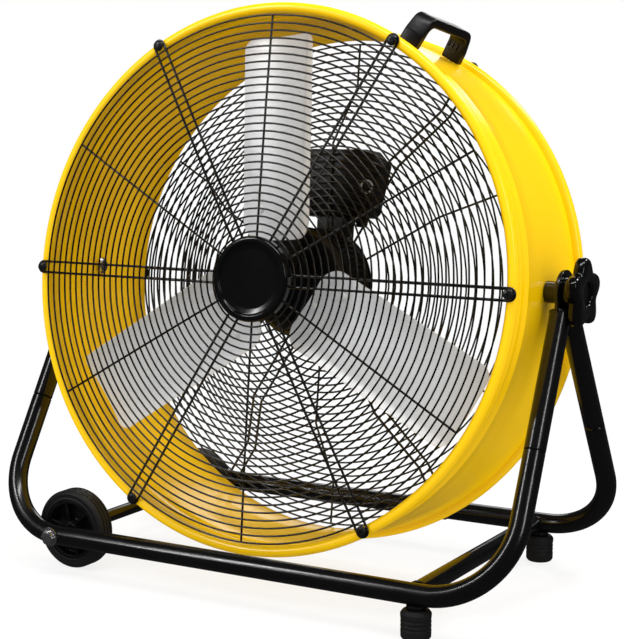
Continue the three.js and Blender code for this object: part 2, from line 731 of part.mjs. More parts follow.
function controlBox() {
  const outside = slabAcrossY(boxShape(0), BOX_FRONT, BOX_FRONT + BOX_DEPTH, 4);
  const inside = slabAcrossY(boxShape(BOX_WALL), BOX_FRONT + BOX_WALL, coverLow + BOX_COVER, 4);
  const glandHole = alongZ(turned(discProfile(GLAND_RADIUS + GAP, BOX_BOTTOM - 5, BOX_BOTTOM + 6), 12));
  return cut(outside, inside, glandHole.translate(GLAND_X, GLAND_Y, 0));
}

function controlBoxCover() {
  const plate = slabAcrossY(boxShape(0), coverLow, coverLow + BOX_COVER, 4);
  const spindle = turned(discProfile(SPINDLE_RADIUS + GAP, coverLow - 5, coverLow + 15), 12);
  return cut(plate, spindle.translate(0, 0, speedKnobHeight));
}

function speedKnob() {
  const low = coverLow + BOX_COVER + GAP;
  const body = turned([
    [0, low - 12], [SPINDLE_RADIUS, low - 12], [SPINDLE_RADIUS, low], [SPEED_KNOB_RADIUS, low],
    [SPEED_KNOB_RADIUS - 1, low + 6], [0, low + 6],
  ], 24);
  const reach = SPEED_KNOB_RADIUS - 3;
  const grip = box(-4, 4, low + 4, low + 17, -reach, reach);
  return join(body, grip).translate(0, 0, speedKnobHeight);
}

function cordGland() {
  const top = BOX_BOTTOM - GAP;
  const end = top - 12;
  const bore = GLAND_RADIUS - 2.5;
  return alongZ(turned([
    [bore, end], [GLAND_RADIUS + 1, end], [GLAND_RADIUS + 3, top - 4], [GLAND_RADIUS + 3, top], [GLAND_RADIUS, top],
    [GLAND_RADIUS, top + 7], [bore, top + 7], [bore, end],
  ], 16)).translate(GLAND_X, GLAND_Y, 0);
}

// ---------------------------------------------------------------- rotor

const pitchAt = (radius) => THREE.MathUtils.mapLinear(radius, 0, BLADE_TIP, ROOT_PITCH, TIP_PITCH);

// The blade's curved section: hollow towards the front, with a bent strip along its trailing edge.
function sectionHeight(s) {
  const arch = BLADE_CAMBER * (1 - (2 * s / BLADE_CHORD) ** 2);
  const strip = Math.max(0, s - (BLADE_CHORD / 2 - FLANGE_WIDTH)) * 0.35;
  return arch - strip;
}

// Where a curved sheet is measured across its chord: evenly, and along the crease of the bent strip.
function chordStations(halfWidth, spans) {
  const stations = [];
  for (let i = 0; i <= spans; i += 1) stations.push(THREE.MathUtils.mapLinear(i, 0, spans, -halfWidth, halfWidth));
  const crease = BLADE_CHORD / 2 - FLANGE_WIDTH;
  if (halfWidth > crease) stations.splice(spans, 0, crease);
  return stations;
}

// A curved sheet that follows the blade, lifted off its front face, in equal steps out from the axis.
function bladeSheet(halfWidth, spans, lift, thickness, steps) {
  const stations = chordStations(halfWidth, spans);
  const front = stations.map((s) => new THREE.Vector2(s, sectionHeight(s) + lift));
  const back = stations.map((s) => new THREE.Vector2(s, sectionHeight(s) + lift + thickness)).reverse();
  const sheet = new THREE.ExtrudeGeometry(new THREE.Shape([...front, ...back]), {
    depth: steps * TWIST_STEP, steps, bevelEnabled: false,
  });
  const position = sheet.attributes.position;
  const point = new THREE.Vector3();
  const radial = new THREE.Vector3(0, 0, 1);
  for (let i = 0; i < position.count; i += 1) {
    point.fromBufferAttribute(position, i);
    point.applyAxisAngle(radial, -pitchAt(point.z));
    position.setXYZ(i, point.x, point.y, point.z);
  }
  return sheet.translate(0, BLADE_FRONT, 0);
}

function roundedOutline(halfWidth, low, high, lowRound, highRound) {
  const shape = new THREE.Shape();
  shape.moveTo(-halfWidth + lowRound, low);
  shape.lineTo(halfWidth - lowRound, low);
  shape.absarc(halfWidth - lowRound, low + lowRound, lowRound, -Math.PI / 2, 0);
  shape.absarc(halfWidth - highRound, high - highRound, highRound, 0, Math.PI / 2);
  shape.absarc(-halfWidth + highRound, high - highRound, highRound, Math.PI / 2, Math.PI);
  shape.absarc(-halfWidth + lowRound, low + lowRound, lowRound, Math.PI, 1.5 * Math.PI);
  return shape;
}

const standing = (shape, steps) => slabAcrossY(shape, -140, 40, steps);

const bladeTurn = (index) => -ROTOR_TURN - (2 * Math.PI * index) / BLADE_COUNT;

function fanBlade(index) {
  const sheet = bladeSheet(BLADE_CHORD / 2, 5, 0, BLADE_THICKNESS, 5);
  const outline = standing(roundedOutline(BLADE_CHORD / 2 - 1, BLADE_ROOT, BLADE_TIP - 5, 26, 14), 3);
  return common(sheet, outline).rotateY(bladeTurn(index));
}

// The hub: a boss on the shaft, a disc, and an arm behind each blade that ends in a broad saddle.
function fanHub() {
  const parts = [
    turned(discProfile(HUB_BOSS_RADIUS, HUB_FRONT, HUB_REAR), 20),
    turned(discProfile(HUB_DISC_RADIUS, HUB_DISC_FRONT, HUB_DISC_FRONT + 5), 20),
  ];
  for (let i = 0; i < BLADE_COUNT; i += 1) {
    const sheet = bladeSheet(SADDLE_WIDTH / 2 + 1, 4, BLADE_THICKNESS + 4 * GAP, 3, 2);
    const arm = standing(roundedOutline(ARM_WIDTH / 2, 2, ARM_LENGTH, 1, 14), 3);
    const saddle = standing(roundedOutline(SADDLE_WIDTH / 2, SADDLE_START, ARM_LENGTH, 4, 14), 3);
    parts.push(common(sheet, join(arm, saddle)).rotateY(bladeTurn(i)));
  }
  const bore = turned(discProfile(SHAFT_RADIUS + GAP, HUB_FRONT + 4, 0), 16);
  return cut(join(...parts), bore);
}

const motorShaft = () => turned(discProfile(SHAFT_RADIUS, HUB_FRONT + 5, shaftEnd - 1), 16);

// ---------------------------------------------------------------- assembly

const fan = new THREE.Group();
const pivot = new THREE.Group();
const drum = new THREE.Group();
pivot.position.z = PIVOT_HEIGHT;
pivot.rotation.x = -DRUM_TILT;
drum.position.set(0, -DRUM_FORWARD, -DRUM_DROP);
fan.add(pivot);
pivot.add(drum);

function place(group, name, geometry, material) {
  const mesh = new THREE.Mesh(geometry, material);
  mesh.name = name;
  group.add(mesh);
  return mesh;
}

function addStand() {
  for (const [end, where] of [[-1, 'front'], [1, 'rear']]) {
    place(fan, `${where}_lower_tube`, lowerTube(end), blackPaint);
    place(fan, `left_${where}_upper_leg`, upperLeg(-1, end), blackPaint);
    place(fan, `right_${where}_upper_leg`, upperLeg(1, end), blackPaint);
    place(fan, `${where}_foot_stub`, footStub(end), blackPaint);
    place(fan, `${where}_foot`, foot(end), rubber);
  }
  place(fan, 'right_pivot_plate', pivotPlate(), blackPaint);
  place(fan, 'left_pivot_plate', pivotPlate().rotateZ(Math.PI), blackPaint);
  place(fan, 'foot_crossbar', footCrossbar(), blackPaint);
}

function addWheels() {
  const boss = BOSS_WIDTH / 2 + GAP;
  const inner = RUN_HALF_GAP - TUBE_RADIUS - 1;
  place(fan, 'wheel_axle', wheelAxle(), zincSteel);
  place(fan, 'wheel_axle_nut', axleNut(), zincSteel);
  place(fan, 'axle_spacer_tube', axleSpacer(-WHEEL_Y + boss, WHEEL_Y - boss), blackPaint);
  place(fan, 'front_wheel_spacer', axleSpacer(-inner, -WHEEL_Y - boss), blackPaint);
  place(fan, 'rear_wheel_spacer', axleSpacer(WHEEL_Y + boss, inner), blackPaint);
  for (const [end, where] of [[-1, 'front'], [1, 'rear']]) {
    place(fan, `${where}_wheel_tyre`, wheelTyre(end), rubber);
    place(fan, `${where}_wheel_hub`, wheelHub(end), blackPlastic);
  }
}

function addDrum() {
  place(drum, 'drum_shell', drumShell(), yellowPaint);
  place(drum, 'front_guard', frontGuard(), blackWire);
  place(drum, 'rear_guard', rearGuard(), blackWire);
  place(drum, 'front_guard_cap', frontGuardCap(), glossPlastic);
  for (let i = 0; i < 6; i += 1) {
    place(drum, `front_guard_screw_${i + 1}`, guardScrew(-1, i), blackPaint);
    place(drum, `rear_guard_screw_${i + 1}`, guardScrew(1, i), blackPaint);
  }
  place(drum, 'carry_handle', carryHandle(), blackPlastic);
  place(drum, 'front_handle_screw', handleScrew(handleScrewPlaces[0]), zincSteel);
  place(drum, 'rear_handle_screw', handleScrew(handleScrewPlaces[1]), zincSteel);
}

function addPivots() {
  for (const [turn, where] of [[0, 'right'], [Math.PI, 'left']]) {
    place(pivot, `${where}_pivot_stud`, pivotStud().rotateZ(turn), zincSteel);
    place(pivot, `${where}_pivot_sleeve`, pivotSleeve().rotateZ(turn), blackPaint);
    place(pivot, `${where}_tilt_knob`, tiltKnob().rotateZ(turn), glossPlastic);
  }
}

function addMotor() {
  place(drum, 'motor_mount_plate', mountPlate(), motorPaint);
  place(drum, 'motor_housing', motorHousing(), motorPaint);
  place(drum, 'motor_end_bell', motorEndBell(), motorPaint);
  place(drum, 'control_box', controlBox(), blackPlastic);
  place(drum, 'control_box_cover', controlBoxCover(), blackPlastic);
  place(drum, 'speed_knob', speedKnob(), greyPlastic);
  place(drum, 'cord_gland', cordGland(), blackPlastic);
}

function addRotor() {
  place(drum, 'motor_shaft', motorShaft(), zincSteel);
  place(drum, 'fan_hub', fanHub(), motorPaint);
  for (let i = 0; i < BLADE_COUNT; i += 1) place(drum, `fan_blade_${i + 1}`, fanBlade(i), aluminium);
}

addStand();
addWheels();
addDrum();
addPivots();
addMotor();
addRotor();

export default fan;
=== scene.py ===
"""The looks of the drum fan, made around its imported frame: drawn in millimetres, placed in metres."""
import json
import math

import bmesh
import bpy
from mathutils import Matrix, Vector

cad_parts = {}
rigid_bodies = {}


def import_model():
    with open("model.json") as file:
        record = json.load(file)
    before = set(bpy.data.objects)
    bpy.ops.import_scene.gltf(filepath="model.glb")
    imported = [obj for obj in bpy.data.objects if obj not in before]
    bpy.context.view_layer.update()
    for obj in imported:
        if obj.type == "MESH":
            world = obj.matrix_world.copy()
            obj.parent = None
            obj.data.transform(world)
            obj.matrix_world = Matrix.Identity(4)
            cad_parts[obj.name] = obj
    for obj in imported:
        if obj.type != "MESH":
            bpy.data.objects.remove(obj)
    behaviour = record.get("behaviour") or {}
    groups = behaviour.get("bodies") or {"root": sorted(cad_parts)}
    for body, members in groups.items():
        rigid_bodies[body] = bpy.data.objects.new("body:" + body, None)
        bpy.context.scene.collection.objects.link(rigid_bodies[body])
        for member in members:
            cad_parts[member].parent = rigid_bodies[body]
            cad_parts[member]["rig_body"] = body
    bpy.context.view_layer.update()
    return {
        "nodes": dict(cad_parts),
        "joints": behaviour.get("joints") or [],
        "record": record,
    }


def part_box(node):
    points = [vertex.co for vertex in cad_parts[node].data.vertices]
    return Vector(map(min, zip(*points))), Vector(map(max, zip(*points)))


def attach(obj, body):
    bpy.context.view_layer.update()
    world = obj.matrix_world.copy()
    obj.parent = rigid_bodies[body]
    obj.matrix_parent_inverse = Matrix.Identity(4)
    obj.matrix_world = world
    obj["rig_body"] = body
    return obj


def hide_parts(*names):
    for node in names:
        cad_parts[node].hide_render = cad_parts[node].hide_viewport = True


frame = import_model()

JOINTS = {joint["name"]: joint for joint in frame["joints"]}
SLOTS = {part["node"]: part["material_slot"] for part in frame["record"]["subparts"]}

# ---------------------------------------------------------------- driving dimensions, in millimetres

METRES = 0.001
GAP = 0.3
ENDS = ((-1, "front"), (1, "rear"))
HANDS = ((-1, "left"), (1, "right"))

RIM_RADIUS = 335
SHELL_RADIUS = 326
DRUM_WALL = 1.5
DRUM_SIDES = 240
HALF_DEPTH = 110
BEAD_RADIUS = 6.5
RIB_PLACES = (-78, -58)
RIB_HALF_WIDTH = 7
RIB_HEIGHT = 3
LAND_HALF_ANGLE = 11

RING_OUTER = 318
RING_PITCH = 9.3
RING_WIRE = 1.2
STRUT_WIRE = 1.6
SPOKE_WIRE = 1.4
STRUT_HALF_GAP = 7
STRUT_COUNT = 6
FRONT_RINGS = 29
REAR_RINGS = 25
SCREW_CIRCLE = 328
FRONT_DOME = 6
FRONT_HUB_RING = 40
REAR_HUB_RING = 62
REAR_DISH = 57
DISH_INNER = 182
DISH_OUTER = 262
DISH_SOFTNESS = 7
CAP_RADIUS = 52
CAP_BACK = -119
CAP_HEIGHT = 12

TUBE_RADIUS = 12.7
RUN_HALF_GAP = 184
RUN_X = 357
LEG_TOP_X = 348
LEG_TOP_HALF_GAP = 0
LEG_BEND = 95
JOINT_HEIGHT = 208
LEG_TOP_HEIGHT = 356
PLATE_THICKNESS = 5
PLATE_RADIUS = 27
PLATE_DROP = 51

FOOT_X = 250
CROSSBAR_X = 246
CROSSBAR_RADIUS = 11
FOOT_RADIUS = 18
FOOT_HEIGHT = 34
STUB_RADIUS = 10

WHEEL_RADIUS = 51
WHEEL_HALF_WIDTH = 14
HUB_RADIUS = 38
WHEEL_BOSS = 16
AXLE_RADIUS = 5
NUT_RADIUS = 9.8
NUT_HEIGHT = 6.4
WASHER_RADIUS = 12.2
WASHER_THICKNESS = 1.4
AXLE_SPACER_RADIUS = 8.5

SLEEVE_RADIUS = 13
STUD_RADIUS = 5
KNOB_RADIUS = 42
KNOB_LOBE_DEPTH = 12
KNOB_BOSS_RADIUS = 20
KNOB_FACE = 378
KNOB_BACK = 362.5
KNOB_RECESS = 14
STUD_SEAT_RELIEF = 2

MOTOR_RADIUS = 70
MOTOR_FRONT = -10.3
MOTOR_REAR = 49.7
BELL_LENGTH = 14
MOTOR_FINS = 48
BELL_SLOTS = 16
SHAFT_RADIUS = 7
SHAFT_BORE = 7.3
PLATE_FRONT = 50
PLATE_REAR = 53
MOUNT_PLATE_RADIUS = 70

BOX_TOP_HALF_WIDTH = 66
BOX_BOTTOM_HALF_WIDTH = 54
BOX_CHAMFER = 18
BOX_BOTTOM = 88
BOX_TOP = 175
BOX_FRONT = 58
BOX_REAR = 92
COVER_FRONT = 92.3
COVER_REAR = 97.3
LAMP = (52, 127)
GLAND = (38, 76)
SPEED_KNOB_RADIUS = 19
SPEED_KNOB_HEIGHT = 131.5

BLADE_COUNT = 3
BLADE_ROOT = 50
BLADE_END = 301
BLADE_CHORD = 110
BLADE_CAMBER = 8
BLADE_THICKNESS = 2
BLADE_FRONT = -70
HUB_FRONT = -86
HUB_LENGTH = 56
HUB_BARREL_RADIUS = 20
ARM_REACH = 106
ARM_HALF_WIDTH = 42
BLADE_TIP = 306
ROOT_PITCH = 12
TIP_PITCH = 9
FLANGE_WIDTH = 11
FLANGE_SLOPE = 0.2
ROTOR_TURN = 3
RIVETS = ((0, 60), (-30, 88), (30, 88))

HANDLE_ANGLE = 62
HANDLE_MIDDLE = 9
HANDLE_HALF_LENGTH = 67
HANDLE_HEIGHT = 42
HANDLE_BAR = 11
HANDLE_LEG = 13
HANDLE_WIDTH = 26
HANDLE_FOOT_ROUND = 3.6
HANDLE_EDGE = 2.2

# ---------------------------------------------------------------- camera, in metres and degrees

LENS = 89.8
SENSOR_WIDTH = 36
CAMERA_AZIMUTH = 29.97
CAMERA_ELEVATION = 7.36
CAMERA_DISTANCE = 2.0258
CAMERA_TARGET = Vector((0.0094, 0, 0.325))

# ---------------------------------------------------------------- frames

WORLD = Matrix.Scale(METRES, 4)
PIVOT = Matrix.Translation(Vector(JOINTS["drum_tilt"]["pos_m"])) @ WORLD
PIVOT_HEIGHT = JOINTS["drum_tilt"]["pos_m"][2] / METRES
WHEELS = {end: Vector(JOINTS[f"{end}_wheel_spin"]["pos_m"]) / METRES for end in ("front", "rear")}
WHEEL_X = WHEELS["front"].x
RUN_HEIGHT = WHEELS["front"].z


def drum_frame():
    """The drum's own frame: its middle is the origin and +Y is its axis, towards the rear."""
    low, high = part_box("drum_shell")
    back = -Vector(JOINTS["fan_spin"]["axis"]).normalized()
    across = Vector((1, 0, 0))
    turn = Matrix((across, back, across.cross(back))).transposed().to_4x4()
    return Matrix.Translation((low + high) / 2) @ turn @ WORLD


DRUM = drum_frame()
IDENTITY = Matrix()
ACROSS_X = Matrix(((0, 0, 1, 0), (1, 0, 0, 0), (0, 1, 0, 0), (0, 0, 0, 1)))
ACROSS_Y = Matrix(((1, 0, 0, 0), (0, 0, 1, 0), (0, 1, 0, 0), (0, 0, 0, 1)))
ACROSS_Z = Matrix(((0, 1, 0, 0), (1, 0, 0, 0), (0, 0, 1, 0), (0, 0, 0, 1)))


def moved(x, y, z):
    return Matrix.Translation((x, y, z))


def about(axis, degrees):
    return Matrix.Rotation(math.radians(degrees), 4, axis)


def polar(degrees):
    """Turns +X up towards +Z, about the drum's axis."""
    return about("Y", -degrees)


def aimed(start, towards):
    """Lays +Y along a direction, from a starting point."""
    turn = Vector((0, 1, 0)).rotation_difference(towards - start)
    return Matrix.Translation(start) @ turn.to_matrix().to_4x4()


ALONG_X = about("Z", -90)
ALONG_Z = about("X", 90)

# ---------------------------------------------------------------- outlines


def mix(low, high, share):
    return low + (high - low) * share


def rounded(corners, steps=4, closed=True):
    """An outline whose corners, given as (x, y, radius), are rounded off."""
    points = []
    ends = () if closed else (0, len(corners) - 1)
    for i, (x, y, radius) in enumerate(corners):
        corner = Vector((x, y))
        if radius == 0 or i in ends:
            points.append(corner)
            continue
        before = Vector(corners[i - 1][:2]) - corner
        after = Vector(corners[(i + 1) % len(corners)][:2]) - corner
        reach = radius / math.tan(before.angle(after) / 2)
        reach = min(reach, before.length * 0.49, after.length * 0.49)
        first = corner + before.normalized() * reach
        last = corner + after.normalized() * reach
        for k in range(steps + 1):
            t = k / steps
            points.append(first * (1 - t) ** 2 + corner * 2 * t * (1 - t) + last * t ** 2)
    return points


def circle(radius, steps=48, x=0.0, y=0.0):
    angles = [2 * math.pi * i / steps for i in range(steps)]
    return [Vector((x + radius * math.cos(a), y + radius * math.sin(a))) for a in angles]


def inset(outline, distance):
    """A closed outline moved inwards."""
    count = len(outline)
    area = sum(outline[i - 1].cross(outline[i]) for i in range(count))
    sign = 1 if area > 0 else -1
    points = []
    for i, point in enumerate(outline):
        before = (point - outline[i - 1]).normalized()
        after = (outline[(i + 1) % count] - point).normalized()
        along = (before + after).normalized()
        spread = max(0.5, along.dot(after))
        points.append(point + Vector((-along.y, along.x)) * sign * distance / spread)
    return points


def bent(corners, radius, steps=16):
    """A centre line in space: straight stretches with a round bend at each corner."""
    points = [corners[0]]
    for before, corner, after in zip(corners, corners[1:], corners[2:]):
        into = (corner - before).normalized()
        out = (after - corner).normalized()
        turn = into.angle(out)
        side = (out - into * into.dot(out)).normalized()
        first = corner - into * radius * math.tan(turn / 2)
        for i in range(steps + 1):
            angle = turn * i / steps
            points.append(first + into * radius * math.sin(angle) + side * radius * (1 - math.cos(angle)))
    points.append(corners[-1])
    return points


# ---------------------------------------------------------------- mesh building


class Shape:
    """Points and faces of one piece, drawn in the millimetres of the frame that it is given."""

    def __init__(self, place):
        self.place = place
        self.points = []
        self.faces = []
        self.paints = []

    def add(self, points, faces, paint=0, at=IDENTITY):
        first = len(self.points)
        whole = self.place @ at
        self.points.extend(whole @ Vector(point) for point in points)
        self.faces.extend([first + i for i in face] for face in faces)
        self.paints.extend([paint] * len(faces))

    def rows(self, rows, around=True, along=False, paint=0, at=IDENTITY):
        """A skin over rows of points: around closes each row, along closes the last row to the first."""
        width = len(rows[0])
        faces = []
        for i in range(len(rows) if along else len(rows) - 1):
            here, there = i * width, (i + 1) % len(rows) * width
            for j in range(width if around else width - 1):
                k = (j + 1) % width
                faces.append((here + j, here + k, there + k, there + j))
        if not along:
            faces.append(tuple(range(width)))
            faces.append(tuple(range((len(rows) - 1) * width, len(rows) * width)))
        self.add([point for row in rows for point in row], faces, paint, at)

    def turned(self, profile, steps=64, closed=False, paint=0, at=IDENTITY):
        """A profile of (radius, height) pairs turned about +Y. An open one starts and ends on the axis."""
        rows = []
        for i in range(steps):
            angle = 2 * math.pi * i / steps
            rows.append([(r * math.cos(angle), h, r * math.sin(angle)) for r, h in profile])
        self.rows(rows, around=closed, along=True, paint=paint, at=at)

    def ring(self, radius, wire, height, sides=8, paint=0, at=IDENTITY):
        steps = max(40, int(radius * 0.45))
        profile = [(radius + x, height + y) for x, y in circle(wire, sides)]
        self.turned(profile, steps, closed=True, paint=paint, at=at)

    def rod(self, points, radius, sides=16, chamfer=0.0, at=IDENTITY):
        """A round bar along a line, with chamfered ends."""
        last = len(points) - 1
        ways = [(points[min(i + 1, last)] - points[max(i - 1, 0)]).normalized() for i in range(last + 1)]
        side = ways[0].orthogonal().normalized()
        rows = []
        for i, (point, way) in enumerate(zip(points, ways)):
            side = (side - way * side.dot(way)).normalized()
            other = way.cross(side)
            section = [side * x + other * y for x, y in circle(radius, sides)]
            small = [p * (1 - chamfer / radius) for p in section]
            if i == 0 and chamfer:
                rows.append([point + p for p in small])
                rows.append([point + way * chamfer + p for p in section])
            elif i == last and chamfer:
                rows.append([point - way * chamfer + p for p in section])
                rows.append([point + p for p in small])
            else:
                rows.append([point + p for p in section])
        self.rows(rows, at=at)

    def slab(self, outline, low, high, edge=0.8, steps=3, paint=0, at=IDENTITY):
        """An outline given thickness along the third axis, with rounded edges."""
        quarter = [math.pi / 2 * k / steps for k in range(steps + 1)]
        levels = [(edge * (1 - math.sin(a)), edge * (1 - math.cos(a))) for a in quarter]
        rows = [[(x, y, low + rise) for x, y in inset(outline, back)] for back, rise in levels]
        rows += [[(x, y, high - rise) for x, y in inset(outline, back)] for back, rise in reversed(levels)]
        self.rows(rows, paint=paint, at=at)

    def block(self, low, high, edge=0.8, paint=0, at=IDENTITY):
        """A box with rounded edges."""
        (x0, y0, z0), (x1, y1, z1) = low, high
        outline = rounded([(x0, y0, edge), (x1, y0, edge), (x1, y1, edge), (x0, y1, edge)], 3)
        self.slab(outline, z0, z1, edge * 0.9, paint=paint, at=at)

    def peg(self, radius, low, high, edges, steps, fine=3, paint=0, at=IDENTITY):
        """A round bar along +Y, with the edge at each end rounded off."""
        corners = [(0, low, 0), (radius, low, edges[0]), (radius, high, edges[1]), (0, high, 0)]
        self.turned(rounded(corners, fine, False), steps, paint=paint, at=at)

    def pan_head(self, radius, height, at=IDENTITY):
        """A pan head that rises along +Y, with a cross recess."""
        steps = 48
        rows = []
        for i in range(steps):
            angle = 2 * math.pi * i / steps
            reach = radius * (0.5 if abs(math.sin(2 * angle)) < 0.36 else 0.17)
            floor = height * 0.4
            profile = [(0, floor), (reach * 0.85, floor), (reach, height * 0.96)]
            crown = ((0.62, 0.95), (0.82, 0.8), (0.95, 0.55), (1, 0.3), (1, 0))
            profile += [(radius * r, height * h) for r, h in crown]
            profile.append((0, 0))
            rows.append([(r * math.cos(angle), h, r * math.sin(angle)) for r, h in profile])
        self.rows(rows, around=False, along=True, at=at)

    def weld(self, radius, bead, height, at=IDENTITY):
        """A rippled weld bead round a tube."""
        rows = []
        steps = 72
        for i in range(steps):
            angle = 2 * math.pi * i / steps
            size = bead * (1 + 0.16 * math.sin(18 * angle))
            rows.append([
                ((radius + x) * math.cos(angle), height + y, (radius + x) * math.sin(angle))
                for x, y in circle(size, 10)
            ])
        self.rows(rows, along=True, at=at)

    def make(self, name, materials, crease=32):
        mesh = bpy.data.meshes.new(name)
        mesh.from_pydata(self.points, [], self.faces)
        for polygon, paint in zip(mesh.polygons, self.paints):
            polygon.material_index = paint
        work = bmesh.new()
        work.from_mesh(mesh)
        bmesh.ops.remove_doubles(work, verts=work.verts, dist=2e-6)
        bmesh.ops.dissolve_degenerate(work, edges=work.edges, dist=1e-6)
        bmesh.ops.recalc_face_normals(work, faces=work.faces)
        work.to_mesh(mesh)
        work.free()
        mesh.shade_smooth()
        mesh.set_sharp_from_angle(angle=math.radians(crease))
        for material in materials:
            mesh.materials.append(material)
        piece = bpy.data.objects.new(name, mesh)
        bpy.context.scene.collection.objects.link(piece)
        return piece


# ---------------------------------------------------------------- materials


class Finish:
    """A procedural material whose colour, gloss and surface vary a little over the piece."""

    def __init__(self, name, colour, roughness, metallic=0.0, specular=0.5, coat=0.0):
        self.material = bpy.data.materials.new(name)
        self.material.use_nodes = True
        self.tree = self.material.node_tree
        self.shader = self.tree.nodes["Principled BSDF"]
        self.place = self.tree.nodes.new("ShaderNodeTexCoord").outputs["Object"]
        self.colour = colour
        self.roughness = roughness
        self.set("Base Color", (*colour, 1))
        self.set("Roughness", roughness)
        self.set("Metallic", metallic)
        self.set("Specular IOR Level", specular)
        self.set("Coat Weight", coat)
        self.set("Coat Roughness", 0.08)

    def set(self, socket, value):
        self.shader.inputs[socket].default_value = value

    def node(self, kind, inputs=None, **values):
        made = self.tree.nodes.new(kind)
        for key, value in values.items():
            setattr(made, key, value)
        for key, value in (inputs or {}).items():
            if isinstance(value, bpy.types.NodeSocket):
                self.tree.links.new(value, made.inputs[key])
            else:
                made.inputs[key].default_value = value
        return made

    def stretched(self, degrees, scale):
        """Coordinates turned about the fan's axis and then scaled, for a grain that has a direction."""
        tilt = math.asin(JOINTS["fan_spin"]["axis"][2])
        level = self.node("ShaderNodeMapping", {"Vector": self.place, "Rotation": (tilt, 0, 0)})
        turn = self.node("ShaderNodeMapping", {
            "Vector": level.outputs[0], "Rotation": (0, math.radians(degrees), 0), "Scale": scale,
        })
        return turn.outputs[0]

    def noise(self, scale, detail=3.0, place=None):
        made = self.node("ShaderNodeTexNoise", {
            "Vector": place or self.place, "Scale": scale, "Detail": detail, "Roughness": 0.55,
        })
        return made.outputs["Fac"]

    def ranged(self, value, low, high):
        made = self.node("ShaderNodeMapRange", {
            "Value": value, "From Min": 0.3, "From Max": 0.7, "To Min": low, "To Max": high,
        })
        return made.outputs["Result"]

    def vary_colour(self, scale, amount, place=None):
        """Drifts between the colour and a darker one."""
        darker = tuple(c * (1 - amount) for c in self.colour)
        share = self.ranged(self.noise(scale, place=place), 0, 1)
        mixed = self.node("ShaderNodeMix", data_type="RGBA")
        self.tree.links.new(share, mixed.inputs["Factor"])
        for name, value in (("A", self.colour), ("B", darker)):
            socket = next(s for s in mixed.inputs if s.name == name and s.type == "RGBA")
            socket.default_value = (*value, 1)
        output = next(s for s in mixed.outputs if s.type == "RGBA")
        self.tree.links.new(output, self.shader.inputs["Base Color"])
        return self

    def vary_gloss(self, scale, amount, place=None):
        value = self.ranged(self.noise(scale, place=place), self.roughness - amount, self.roughness + amount)
        self.tree.links.new(value, self.shader.inputs["Roughness"])
        return self

    def bump(self, scale, strength, depth, detail=2.0, place=None):
        made = self.node("ShaderNodeBump", {
            "Height": self.noise(scale, detail, place), "Strength": strength, "Distance": depth,
        })
        self.tree.links.new(made.outputs["Normal"], self.shader.inputs["Normal"])
        return self


def yellow_paint():
    made = Finish("yellow_paint", (0.9, 0.54, 0.001), 0.23, specular=0.3, coat=0.08)
    return made.vary_colour(3, 0.03).vary_gloss(14, 0.04).bump(420, 0.12, 0.0003)


def black_paint():
    made = Finish("black_paint", (0.0022, 0.0022, 0.0024), 0.2, specular=0.55)
    return made.vary_colour(9, 0.2).vary_gloss(22, 0.04).bump(480, 0.08, 0.0003)


def guard_wire():
    made = Finish("guard_wire", (0.003, 0.003, 0.0033), 0.24, specular=0.5)
    return made.vary_colour(30, 0.3).vary_gloss(60, 0.05).bump(500, 0.05, 0.0002)


def screw_black():
    made = Finish("screw_black", (0.02, 0.02, 0.021), 0.3, metallic=0.7)
    return made.vary_colour(140, 0.3).vary_gloss(240, 0.07).bump(900, 0.06, 0.0002)


def motor_paint():
    made = Finish("motor_paint", (0.003, 0.003, 0.0033), 0.36, specular=0.22)
    return made.vary_colour(24, 0.25).vary_gloss(40, 0.06).bump(650, 0.25, 0.0004)


def blade_aluminium(degrees):
    made = Finish(f"blade_aluminium_{degrees}", (0.82, 0.825, 0.83), 0.38, metallic=0.35)
    grain = made.stretched(degrees, (6, 90, 420))
    made.vary_colour(1.0, 0.07, grain).vary_gloss(1.0, 0.06, grain)
    return made.bump(1.0, 0.1, 0.0002, 3.0, grain)


def zinc_steel():
    made = Finish("zinc_steel", (0.72, 0.73, 0.74), 0.26, metallic=1.0)
    return made.vary_colour(90, 0.16).vary_gloss(200, 0.07).bump(700, 0.05, 0.0002)


def black_plastic():
    made = Finish("black_plastic", (0.003, 0.003, 0.0033), 0.32, specular=0.24)
    return made.vary_colour(20, 0.2).vary_gloss(50, 0.05).bump(1400, 0.2, 0.0002)


def gloss_black():
    made = Finish("gloss_black", (0.0022, 0.0022, 0.0024), 0.14, specular=0.34)
    return made.vary_colour(14, 0.2).vary_gloss(18, 0.03).bump(160, 0.02, 0.0004)


def grey_plastic():
    made = Finish("grey_plastic", (0.5, 0.5, 0.5), 0.42)
    return made.vary_colour(30, 0.08).vary_gloss(60, 0.05).bump(1400, 0.15, 0.0002)


def foot_rubber():
    made = Finish("foot_rubber", (0.007, 0.007, 0.0072), 0.65, specular=0.25)
    return made.vary_colour(60, 0.3).vary_gloss(90, 0.08).bump(1100, 0.3, 0.0003)


def wheel_tread():
    made = Finish("wheel_tread", (0.007, 0.007, 0.0074), 0.5, specular=0.3)
    return made.vary_colour(40, 0.3).vary_gloss(70, 0.08).bump(900, 0.25, 0.0003)


FINISHES = {
    maker.__name__: maker().material for maker in (
        yellow_paint, black_paint, guard_wire, screw_black, motor_paint, zinc_steel,
        black_plastic, gloss_black, grey_plastic, foot_rubber, wheel_tread,
    )
}


def stands_for(shape, node, *materials, crease=32):
    """Makes the shape a piece that is seen in place of a CAD node, and rides where the node does."""
    slot = SLOTS[node]
    piece = shape.make(f"{node}_fine", materials or [FINISHES[slot]], crease)
    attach(piece, frame["nodes"][node]["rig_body"])
    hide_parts(node)
    return piece


# ---------------------------------------------------------------- drum shell


